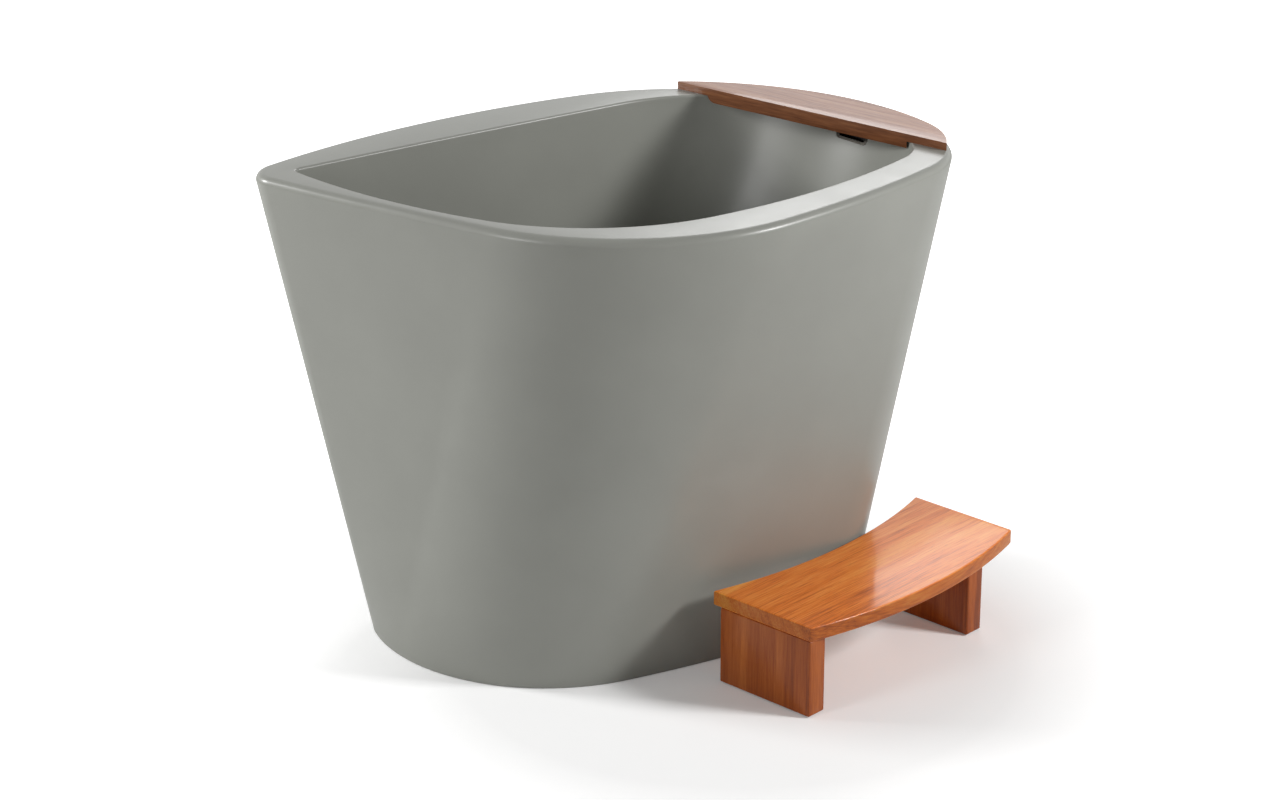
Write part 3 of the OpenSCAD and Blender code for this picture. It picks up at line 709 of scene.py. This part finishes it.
def reach(ring: np.ndarray, start: np.ndarray, azimuth: float) -> float:
    """How far a ray from a point inside a plan ring runs before it meets the ring.

    Args:
        ring: The ring's points.
        start: The ray's start.
        azimuth: Its direction from +X, in radians.

    Returns:
        The distance.
    """
    ray = np.array([math.cos(azimuth), math.sin(azimuth)])
    a = ring - start
    b = np.roll(a, -1, axis=0)
    side_a = ray[0] * a[:, 1] - ray[1] * a[:, 0]
    side_b = ray[0] * b[:, 1] - ray[1] * b[:, 0]
    crossing = (side_a * side_b <= 0) & (side_a != side_b)
    share = side_a[crossing] / (side_a - side_b)[crossing]
    hits = a[crossing] + (b - a)[crossing] * share[:, None]
    return float((hits @ ray).max())


def clipped(ring: np.ndarray, normal: np.ndarray, offset: float) -> np.ndarray:
    """The part of a plan ring beyond a line.

    Args:
        ring: The ring's points.
        normal: Unit normal of the line, towards the part that stays.
        offset: The line's distance from the origin along the normal.

    Returns:
        The points of the part that stays.
    """
    depth = ring @ normal - offset
    kept: list[np.ndarray] = []
    for a, b, da, db in zip(ring, np.roll(ring, -1, 0), depth, np.roll(depth, -1)):
        if da >= 0:
            kept.append(a)
        if da * db < 0:
            kept.append(a + (b - a) * da / (da - db))
    return np.array(kept)


RIM = Outline(
    half=0.6085, left_r=0.061, right_r=0.211,
    far=Belly(wide=0.413, at=0.1285, radius=0.430, left=0.57, right=0.30),
    near=Belly(wide=0.459, at=0.0195, radius=0.414, left=0.95, right=0.85),
)
OPENING = Outline(
    half=0.539, left_r=0.014, right_r=0.120,
    far=Belly(wide=0.350, at=0.200, radius=0.300, left=0.95, right=0.50),
    near=Belly(wide=0.383, at=-0.029, radius=0.380, left=0.75, right=0.66),
)
FOOT = Outline(
    half=0.4395, left_r=0.120, right_r=0.143, shift=0.0065,
    far=Belly(wide=0.270, at=0.0, radius=0.300, left=0.69, right=0.69),
    near=Belly(wide=0.292, at=-0.110, radius=0.335, left=0.79, right=0.77),
)


# ---------------------------------------------------------------- sub-assemblies


@dataclass
class Bath:
    """The bath's two bonded castings, shown as one unbroken body.

    Attributes:
        height: Height of the rim.
        wall: Thickness of the walls.
        rim_round: Radius of the rim's outer edge.
        edge_round: Radius of the opening's edge.
        deck: Thickness of the rim.
        foot_relief: Chamfer round the foot.
        floor: Height of the bowl's floor.
        floor_thick: Its thickness.
        inset: How far the bowl's foot lies inside the bath's.
        knee: Radius between the bowl's floor and its wall.
        lean: Lean of the bowl's wall above the knee.
        waste_at: Place of the waste in plan.
        recess: Radius and depth of the recess for its flange.
        waste_hole: Radius of its hole.
        overflow_azimuth: Direction of the overflow from the waste.
        overflow_drop: Its depth below the rim.
        slot: Its width and height.
        slot_cut: Width and height of its hole through the wall.
        slot_seat: Width and height of its trim's seat.
        seat_depth: Depth of that seat.
    """

    height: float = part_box("inner_basin")[1].z
    wall: float = 0.012
    rim_round: float = 0.014
    edge_round: float = 0.005
    deck: float = 0.014
    foot_relief: float = 0.002
    floor: float = 0.125
    floor_thick: float = 0.020
    inset: float = 0.060
    knee: float = 0.045
    lean: float = math.radians(11.5)
    waste_at: Pair = (0.244, -0.015)
    recess: Pair = (0.037, 0.0045)
    waste_hole: float = 0.025
    overflow_azimuth: float = math.radians(39.4)
    overflow_drop: float = 0.038
    slot: Pair = (0.066, 0.010)
    slot_cut: Pair = (0.0704, 0.0144)
    slot_seat: Pair = (0.0806, 0.0206)
    seat_depth: float = 0.0005

    # How far the cutting tools reach past the faces that they cut.
    recess_reach: float = 0.02
    hole_reach: Pair = (0.04, 0.01)
    seat_reach: float = 0.008
    cut_reach: Pair = (0.005, 0.008)

    # Numbers of rings. The bowl's two sides have many, so that the cuts leave no stray faces.
    knee_steps: int = 13
    round_steps: int = 11
    hidden_steps: int = 30
    skirt_steps: int = 26
    inside_steps: int = 38

    # Points round the waste, and round each side of the overflow.
    disc_steps: int = 96
    side_steps: int = 25

    # Edges of the body above this angle, in degrees, stay sharp.
    sharp_above: float = 30.0

    def skirt(self, z: float, inset: float = 0.0) -> np.ndarray:
        """The outer wall's plan at a height."""
        t = z / (self.height - self.rim_round)
        return FOOT.ring(inset) * (1 - t) + RIM.ring(inset) * t

    def wall_foot(self) -> float:
        """Height at which the knee meets the bowl's wall."""
        return self.floor + self.knee * (1 - math.sin(self.lean))

    def bowl(self, z: float, out: float = 0.0) -> np.ndarray:
        """The inner wall's plan.

        Args:
            z: Height of the plan.
            out: How far it is set out.

        Returns:
            The points, one row each.
        """
        low, high = self.wall_foot(), self.height - self.edge_round
        t = (z - low) / (high - low)
        return FOOT.ring(self.inset - out) * (1 - t) + OPENING.ring(-out) * t

    def knee_ring(self, angle: float, out: float) -> np.ndarray:
        """A ring on the knee between the bowl's floor and its wall.

        Args:
            angle: Turn from the floor, in radians.
            out: How far the ring lies outside the bowl's inner face.

        Returns:
            The ring's points.
        """
        inset = self.inset - out * math.sin(angle)
        inset += self.knee * (math.cos(self.lean) - math.sin(angle))
        z = self.floor + self.knee - (self.knee + out) * math.cos(angle)
        return raised(FOOT.ring(inset), z)

    def rings(self) -> list[np.ndarray]:
        """All rings of the body, from the bowl's underside over the rim to its floor.

        Returns:
            The rings in order.
        """
        knee_turn = np.linspace(0, math.pi / 2 - self.lean, self.knee_steps)
        quarter = np.linspace(0, math.pi / 2, self.round_steps)
        deck_z = self.height - self.deck
        under = FOOT.ring(self.inset + self.knee * math.cos(self.lean))
        rings = [raised(under, self.floor - self.floor_thick)]
        rings += [self.knee_ring(a, self.wall) for a in knee_turn[1:]]
        hidden = np.linspace(self.wall_foot(), deck_z, self.hidden_steps)[1:]
        rings += [raised(self.bowl(z, self.wall), z) for z in hidden]
        rings += [raised(self.skirt(z, self.wall), z) for z in (deck_z, 0.0)]
        rings += [raised(self.skirt(0, self.foot_relief), 0.0)]
        skirt = np.linspace(self.foot_relief, self.height - self.rim_round, self.skirt_steps)
        rings += [raised(self.skirt(z), z) for z in skirt[:-1]]
        rings += [
            raised(RIM.ring(self.rim_round * (1 - math.cos(a))),
                   self.height - self.rim_round * (1 - math.sin(a)))
            for a in quarter
        ]
        rings += [
            raised(OPENING.ring(-self.edge_round * (1 - math.sin(a))),
                   self.height - self.edge_round * (1 - math.cos(a)))
            for a in quarter
        ]
        edge = self.height - self.edge_round
        inside = np.linspace(edge, self.wall_foot(), self.inside_steps)[1:-1]
        rings += [raised(self.bowl(z), z) for z in inside]
        rings += [self.knee_ring(a, 0.0) for a in knee_turn[::-1]]
        return rings

    def overflow_frame(self) -> Matrix:
        """The frame at the overflow slot: +X outwards through the wall, +Z up along it.

        Returns:
            The frame as a matrix.
        """
        level = self.height - self.overflow_drop
        width, tall = self.slot
        out = self.wall_from_waste(self.overflow_azimuth, level)
        view = math.atan2(width / 2, out)
        ends = []
        for azimuth in (self.overflow_azimuth + view, self.overflow_azimuth - view):
            along = np.array([math.cos(azimuth), math.sin(azimuth)])
            ends.append(self.wall_from_waste(azimuth, level) * along)
        chord = ends[0] - ends[1]
        rise = self.wall_from_waste(self.overflow_azimuth, level + tall)
        rise -= self.wall_from_waste(self.overflow_azimuth, level - tall)
        middle = np.array(self.waste_at) + out * np.array(
            [math.cos(self.overflow_azimuth), math.sin(self.overflow_azimuth)])
        return (
            Matrix.Translation((*middle, level))
            @ Matrix.Rotation(math.atan2(-chord[0], chord[1]), 4, "Z")
            @ Matrix.Rotation(math.atan2(rise, 2 * tall), 4, "Y")
        )

    def wall_from_waste(self, azimuth: float, level: float) -> float:
        """Plan distance from the waste to the inner wall, in a direction and at a height."""
        return reach(self.bowl(level), np.array(self.waste_at), azimuth)

    def slot_bar(self, size: Pair, low: float, high: float) -> bpy.types.Object:
        """A bar with round sides through the wall at the overflow.

        Args:
            size: Its width and height.
            low: Depth in the wall at which it begins.
            high: Depth in the wall at which it ends.

        Returns:
            The bar.
        """
        width, tall = size
        right = np.linspace(-math.pi / 2, math.pi / 2, self.side_steps)
        arc = tall / 2 * np.column_stack([np.cos(right), np.sin(right)])
        half = (width - tall) / 2
        outline = np.vstack([arc + (half, 0), -arc - (half, 0)])
        bar = lofted("slot_tool", [
            np.column_stack([np.full(len(outline), x), outline]) for x in (low, high)
        ])
        bar.data.transform(self.overflow_frame())
        return bar

    def disc(self, radius: float, low: float, high: float) -> bpy.types.Object:
        """An upright round bar at the waste.

        Args:
            radius: Its radius.
            low: Height of its foot.
            high: Height of its top.

        Returns:
            The bar.
        """
        turns = np.linspace(0, 2 * math.pi, self.disc_steps, endpoint=False)
        circle = radius * np.column_stack([np.cos(turns), np.sin(turns)]) + self.waste_at
        return prism("waste_tool", circle, low, high)

    def build(self, stone: bpy.types.Material) -> bpy.types.Object:
        """Builds and dresses the bath's body.

        Args:
            stone: The castings' material.

        Returns:
            The piece.
        """
        body = lofted("bath_body", self.rings())
        radius, depth = self.recess
        recess = self.disc(radius, self.floor - depth, self.floor + self.recess_reach)
        combined(body, recess, "DIFFERENCE")
        below, above = self.hole_reach
        hole = self.disc(self.waste_hole, self.floor - below, self.floor + above)
        combined(body, hole, "DIFFERENCE")
        seat = self.slot_bar(self.slot_seat, -self.seat_reach, self.seat_depth)
        combined(body, seat, "DIFFERENCE")
        inwards, outwards = self.cut_reach
        slot = self.slot_bar(self.slot_cut, -inwards, self.wall + outwards)
        combined(body, slot, "DIFFERENCE")
        smoothed(body, self.sharp_above)
        dressed(body, stone)
        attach(body, "tub")
        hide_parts("outer_shell", "inner_basin")
        return body


@dataclass
class Shelf:
    """The wooden corner shelf, with its thicker middle that drops into the opening.

    Attributes:
        seat: Height of the rim below it.
        thick: Thickness of the board.
        drop: How far its middle drops below the rim.
        azimuth: Direction from the front edge towards the shelf.
        front: Distance of the front edge from the origin.
        inset: How far the board lies inside the rim.
        play: Gap between its middle and the opening.
        end_round: Radius of the middle's lower left edge.
        tip_cut: How far the left tip is cut back.
        edge: Rounding of the edges.
        overlap: How far the middle reaches into the board.
    """

    seat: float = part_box("inner_basin")[1].z
    thick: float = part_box("shelf_board")[1].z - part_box("inner_basin")[1].z
    drop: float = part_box("inner_basin")[1].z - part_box("shelf_board")[0].z
    azimuth: float = math.radians(41.6)
    front: float = 0.4035
    inset: float = 0.010
    play: float = 0.005
    end_round: float = 0.018
    tip_cut: float = 0.004
    edge: float = 0.0015
    overlap: float = 0.001

    # The tool that rounds the middle's end reaches well past it on every other side.
    overshoot: float = 0.01
    tool_left: float = -1.0
    tool_span: Pair = (0.2, 1.2)
    end_steps: int = 13

    def axes(self) -> np.ndarray:
        """Unit vectors across the front edge and to the left along it, one per row."""
        c, s = math.cos(self.azimuth), math.sin(self.azimuth)
        return np.array([(c, s), (-s, c)])

    def left_reach(self, ring: np.ndarray) -> float:
        """How far a plan ring runs to the left along the front edge, from its middle."""
        across, _ = self.axes()
        return reach(ring, self.front * across, self.azimuth + math.pi / 2)

    def beyond_front(self, ring: np.ndarray) -> np.ndarray:
        """The part of a plan ring on the shelf's side of its front edge."""
        across, _ = self.axes()
        return clipped(ring, across, self.front)

    def end_tool(self, left: float) -> bpy.types.Object:
        """A bar along the front edge's normal, whose lower left edge is round.

        Args:
            left: How far the bar reaches to the left.

        Returns:
            The bar.
        """
        low = self.seat - self.drop
        turns = np.linspace(0, math.acos(1 - self.drop / self.end_round), self.end_steps)
        run = math.sqrt(self.end_round**2 - (self.end_round - self.drop) ** 2)
        arc = np.column_stack([left - run + self.end_round * np.sin(turns),
                               low + self.end_round * (1 - np.cos(turns))])
        under, over = low - self.overshoot, self.seat + self.overshoot
        profile = np.vstack([(self.tool_left, under), (left - run, under), arc,
                             (left, over), (self.tool_left, over)])
        rings = [np.column_stack([np.full(len(profile), x), profile]) for x in self.tool_span]
        tool = lofted("end_tool", rings)
        tool.data.transform(Matrix.Rotation(self.azimuth, 4, "Z"))
        return tool

    def build(self, wood: bpy.types.Material) -> bpy.types.Object:
        """Builds and dresses the shelf.

        Args:
            wood: The board's material.

        Returns:
            The piece.
        """
        top = self.seat + self.thick
        _, along = self.axes()
        rim, opening = RIM.ring(self.inset), OPENING.ring(self.play)
        outline = clipped(self.beyond_front(rim), -along, self.tip_cut - self.left_reach(rim))
        board = prism("corner_shelf", outline, self.seat, top)
        middle = prism("shelf_middle", self.beyond_front(opening),
                       self.seat - self.drop, self.seat + self.overlap)
        combined(middle, self.end_tool(self.left_reach(opening)), "INTERSECT")
        combined(board, middle, "UNION")
        bevelled(board, self.edge)
        smoothed(board)
        dressed(board, wood)
        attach(board, "shelf")
        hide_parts("shelf_board")
        return board


@dataclass
class Step:
    """The curved wooden step: a top board on two slab legs.

    Attributes:
        azimuth: Direction of the step from its aim.
        aim: A point inside the bath, in plan.
        height: Height of the top.
        under: Height of the top board's underside.
        curve: Radius of its two long edges.
        length: Length of the top.
        depth: Depth of the top.
        near: Distance from the aim to the middle of the near edge.
        leg_thick: Thickness of a leg.
        leg_depth: Depth of a leg.
        leg_inset: How far the right leg stands in from the end.
        leg_foot: Height of the legs' feet.
        edge: Rounding of the edges.
        curve_steps: Points on a long edge.
    """

    azimuth: float = math.radians(-51.6)
    aim: Pair = (0.263, 0.007)
    height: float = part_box("step_top")[1].z
    under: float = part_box("step_top")[0].z
    curve: float = 0.985
    length: float = 0.565
    depth: float = 0.222
    near: float = 0.202592
    leg_thick: float = 0.041
    leg_depth: float = 0.205
    leg_inset: float = 0.082
    leg_foot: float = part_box("step_leg_left")[0].z
    edge: float = 0.003
    curve_steps: int = 65

    def frame(self) -> Matrix:
        """The step's frame: +X away from the bath, +Y along the step."""
        return Matrix.Translation((*self.aim, 0.0)) @ Matrix.Rotation(self.azimuth, 4, "Z")

    def top_outline(self) -> np.ndarray:
        """The top board's plan in the step's frame, anticlockwise.

        Returns:
            The points, one row each.
        """
        half = self.length / 2
        turn = math.asin(half / self.curve)
        turns = np.linspace(-turn, turn, self.curve_steps)
        arc = self.curve * np.column_stack([np.cos(turns), np.sin(turns)]) - (self.curve, 0)
        return np.vstack([arc + (self.near + self.depth, 0), arc[::-1] + (self.near, 0)])

    def leg_outline(self, y: float) -> np.ndarray:
        """A leg's plan in the step's frame.

        Args:
            y: Where the leg begins along the step.

        Returns:
            The points, one row each.
        """
        sag = self.curve - math.sqrt(self.curve**2 - self.length**2 / 4)
        front = self.near + self.depth - sag
        back = front - self.leg_depth
        return np.array([(back, y), (front, y), (front, y + self.leg_thick), (back, y + self.leg_thick)])

    def build(self, top_wood: bpy.types.Material, leg_wood_painted_shade: bpy.types.Material) -> list[bpy.types.Object]:
        """Builds and dresses the step's boards.

        Args:
            top_wood: Material of the top, with its grain along the step.
            leg_wood_painted_shade: Material of the legs, with upright grain.

        Returns:
            The three boards.
        """
        left = -self.length / 2
        right = self.length / 2 - self.leg_inset - self.leg_thick
        top, leg = (self.under, self.height), (self.leg_foot, self.under)
        boards = [
            ("step_board", "step_top", self.top_outline(), top, top_wood),
            ("step_left_slab", "step_leg_left", self.leg_outline(left), leg, leg_wood_painted_shade),
            ("step_right_slab", "step_leg_right", self.leg_outline(right), leg, leg_wood_painted_shade),
        ]
        pieces = []
        for name, node, outline, heights, wood in boards:
            board = prism(name, outline, *heights)
            board.data.transform(self.frame())
            bevelled(board, self.edge)
            smoothed(board)
            dressed(board, wood)
            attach(board, "step")
            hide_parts(node)
            pieces.append(board)
        return pieces


@dataclass
class Fittings:
    """The parts that keep their CAD shape and only get a finish."""

    steel: tuple[str, ...] = ("drain_flange", "click_barrel", "plug_cap", "plug_stem")
    dark_metal: tuple[str, ...] = ("overflow_trim",)
    rubber: tuple[str, ...] = (
        "drain_upper_washer", "drain_lower_washer", "plug_seal", "overflow_gasket",
        *(f"support_foot_{i}" for i in range(1, 6)), *(f"step_pad_{i}" for i in range(1, 5)),
    )
    plastic: tuple[str, ...] = (
        "drain_locknut", "drain_tee", "overflow_box", "overflow_upper_nut", "overflow_pipe",
        "overflow_bend", "overflow_link", "overflow_lower_nut",
    )
    board: tuple[str, ...] = ("base_board",)
    dowel: tuple[str, ...] = ("step_dowels",)

    def build(self, finishes: dict[str, bpy.types.Material]) -> list[bpy.types.Object]:
        """Dresses the CAD nodes.

        Args:
            finishes: A material for each of this class's groups.

        Returns:
            The dressed nodes.
        """
        pieces = []
        for group, material in finishes.items():
            for node in getattr(self, group):
                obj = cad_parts[node]
                dressed(obj, material)
                smoothed(obj)
                pieces.append(obj)
        return pieces


# ---------------------------------------------------------------- studio


@dataclass(frozen=True)
class Softbox:
    """A square white lamp."""

    name: str
    place: Point
    power: float
    size: float

    def build(self, aim: Point) -> None:
        """Adds the lamp.

        Args:
            aim: The point that it faces.
        """
        data = bpy.data.lights.new(self.name, "AREA")
        data.shape = "SQUARE"
        data.size = self.size
        data.energy = self.power
        lamp = bpy.data.objects.new(self.name, data)
        lamp.location = self.place
        lamp.rotation_euler = (Vector(aim) - Vector(self.place)).to_track_quat("-Z", "Y").to_euler()
        bpy.context.scene.collection.objects.link(lamp)


@dataclass
class Studio:
    """The plain pale floor, the soft lamps, the world and the camera."""

    camera_at: Point = (-0.7367, -5.2748, 2.5411)
    camera_tilt: float = math.radians(68.3)
    camera_turn: float = math.radians(-8.56)
    lens: float = 90.0
    sensor: float = 36.0
    floor_half: float = 14.0
    floor_grey: float = 0.86
    floor_roughness: float = 0.9
    floor_gloss: float = 0.2
    world_light: float = 0.15
    lamp_aim: Point = (0.1, 0.0, 0.6)

    # What the camera sees added to the floor at two distances from a point on it.
    floor_glow: Pair = (0.10, 1.0)
    glow_reach: Pair = (0.50, 1.35)
    glow_middle: Point = (0.20, -0.20, 0.0)

    lamps: tuple[Softbox, ...] = (
        Softbox("front_right_softbox", (3.8, -1.72, 2.5), 158.0, 0.8),
        Softbox("back_right_softbox", (1.35, 3.5, 2.7), 31.0, 1.5),
        Softbox("back_left_softbox", (-3.84, 1.06, 2.5), 122.0, 1.0),
        Softbox("front_left_softbox", (-3.55, -2.37, 1.76), 50.0, 1.0),
    )

    def add_camera(self) -> None:
        """Places the camera at the picture's angle and makes it the scene's."""
        data = bpy.data.cameras.new("camera")
        data.lens = self.lens
        data.sensor_width = self.sensor
        data.clip_end = 100.0
        camera = bpy.data.objects.new("camera", data)
        camera.location = self.camera_at
        camera.rotation_euler = (self.camera_tilt, 0.0, self.camera_turn)
        bpy.context.scene.collection.objects.link(camera)
        bpy.context.scene.camera = camera

    def add_floor(self) -> None:
        """Lays a wide pale floor that fades to white for the camera and keeps its shadows."""
        half = self.floor_half
        corners = np.array([(-half, -half, 0), (half, -half, 0), (half, half, 0), (-half, half, 0)])
        floor = new_object("floor", corners, [(0, 1, 2, 3)])
        s = Shader("white_floor")
        seen = s.add("LightPath")
        ends = {0: s.add("TexCoord").outputs["Object"], 1: self.glow_middle}
        away = s.add("VectorMath", ends, operation="DISTANCE")
        fade = s.ranged(away.outputs["Value"], *self.glow_reach, *self.floor_glow)
        glow = s.maths("MULTIPLY", seen.outputs["Is Camera Ray"], fade)
        dressed(floor, s.surface(
            Base_Color=rgba(WHITE, self.floor_grey), Roughness=self.floor_roughness,
            Specular_IOR_Level=self.floor_gloss, Emission_Color=rgba(WHITE), Emission_Strength=glow,
        ))

    def add_world(self) -> None:
        """Sets a white surrounding that the camera and reflections see at full white."""
        world = bpy.data.worlds.new("studio")
        bpy.context.scene.world = world
        world.use_nodes = True
        s = Nodes(world.node_tree)
        path = s.add("LightPath")
        straight = s.maths("MAXIMUM", path.outputs["Is Camera Ray"], path.outputs["Is Glossy Ray"])
        strength = s.ranged(straight, 0.0, 1.0, self.world_light, 1.0)
        background = s.add("Background", {"Color": rgba(WHITE), "Strength": strength})
        s.add("OutputWorld", {"Surface": background.outputs[0]})

    def build(self) -> None:
        """Builds the whole studio."""
        bpy.context.scene.view_settings.view_transform = "Standard"
        self.add_camera()
        self.add_floor()
        self.add_world()
        for lamp in self.lamps:
            lamp.build(self.lamp_aim)


def main() -> None:
    """Builds the studio, the finishes and the sub-assemblies in order."""
    logging.basicConfig(level=logging.INFO, format="%(name)s: %(message)s")
    Studio().build()
    stone = CastStoneFinish().build()
    # Painted shade, in part: the shelf's wood is set darker and browner than the step's, its colours read
    # off the shelf's front edge, which lies in shade.
    shelf_wood = StainedWoodFinish(
        "shelf_wood", GrainRun.SHELF, dark=(0.120, 0.040, 0.016), middle=(0.265, 0.098, 0.040),
        light=(0.400, 0.185, 0.078), ring_tilt=12.0, painted_edge_shade=0.75,
    ).build()
    top_wood = StainedWoodFinish("step_top_wood", GrainRun.STEP_TOP, painted_edge_shade=0.55).build()
    # Painted shade: the legs get a darker copy of the top's wood, standing in for the shade under the
    # step's top.
    leg_wood_painted_shade = StainedWoodFinish(
        "step_leg_wood", GrainRun.STEP_LEG, dark=(0.110, 0.019, 0.004),
        middle=(0.290, 0.064, 0.009), light=(0.440, 0.125, 0.022), contrast=(0.50, 0.28, 0.30),
    ).build()
    finishes = {
        "steel": MetalFinish("polished_steel").build(),
        "dark_metal": MetalFinish("dark_trim", colour=(0.050, 0.046, 0.040), roughness=0.45).build(),
        "rubber": MouldedFinish("black_rubber", (0.02, 0.02, 0.02), 0.75).build(),
        "plastic": MouldedFinish("black_plastic", (0.03, 0.03, 0.032), 0.45).build(),
        "board": StainedWoodFinish(
            "support_board", GrainRun.BASE, dark=(0.30, 0.19, 0.10), middle=(0.45, 0.31, 0.17),
            light=(0.58, 0.43, 0.26), coat=0.0, gloss=0.3, roughness=0.7,
        ).build(),
        "dowel": leg_wood_painted_shade,
    }
    pieces = [Bath().build(stone), Shelf().build(shelf_wood)]
    pieces += Step().build(top_wood, leg_wood_painted_shade)
    pieces += Fittings().build(finishes)


if __name__ == "__main__":
    main()
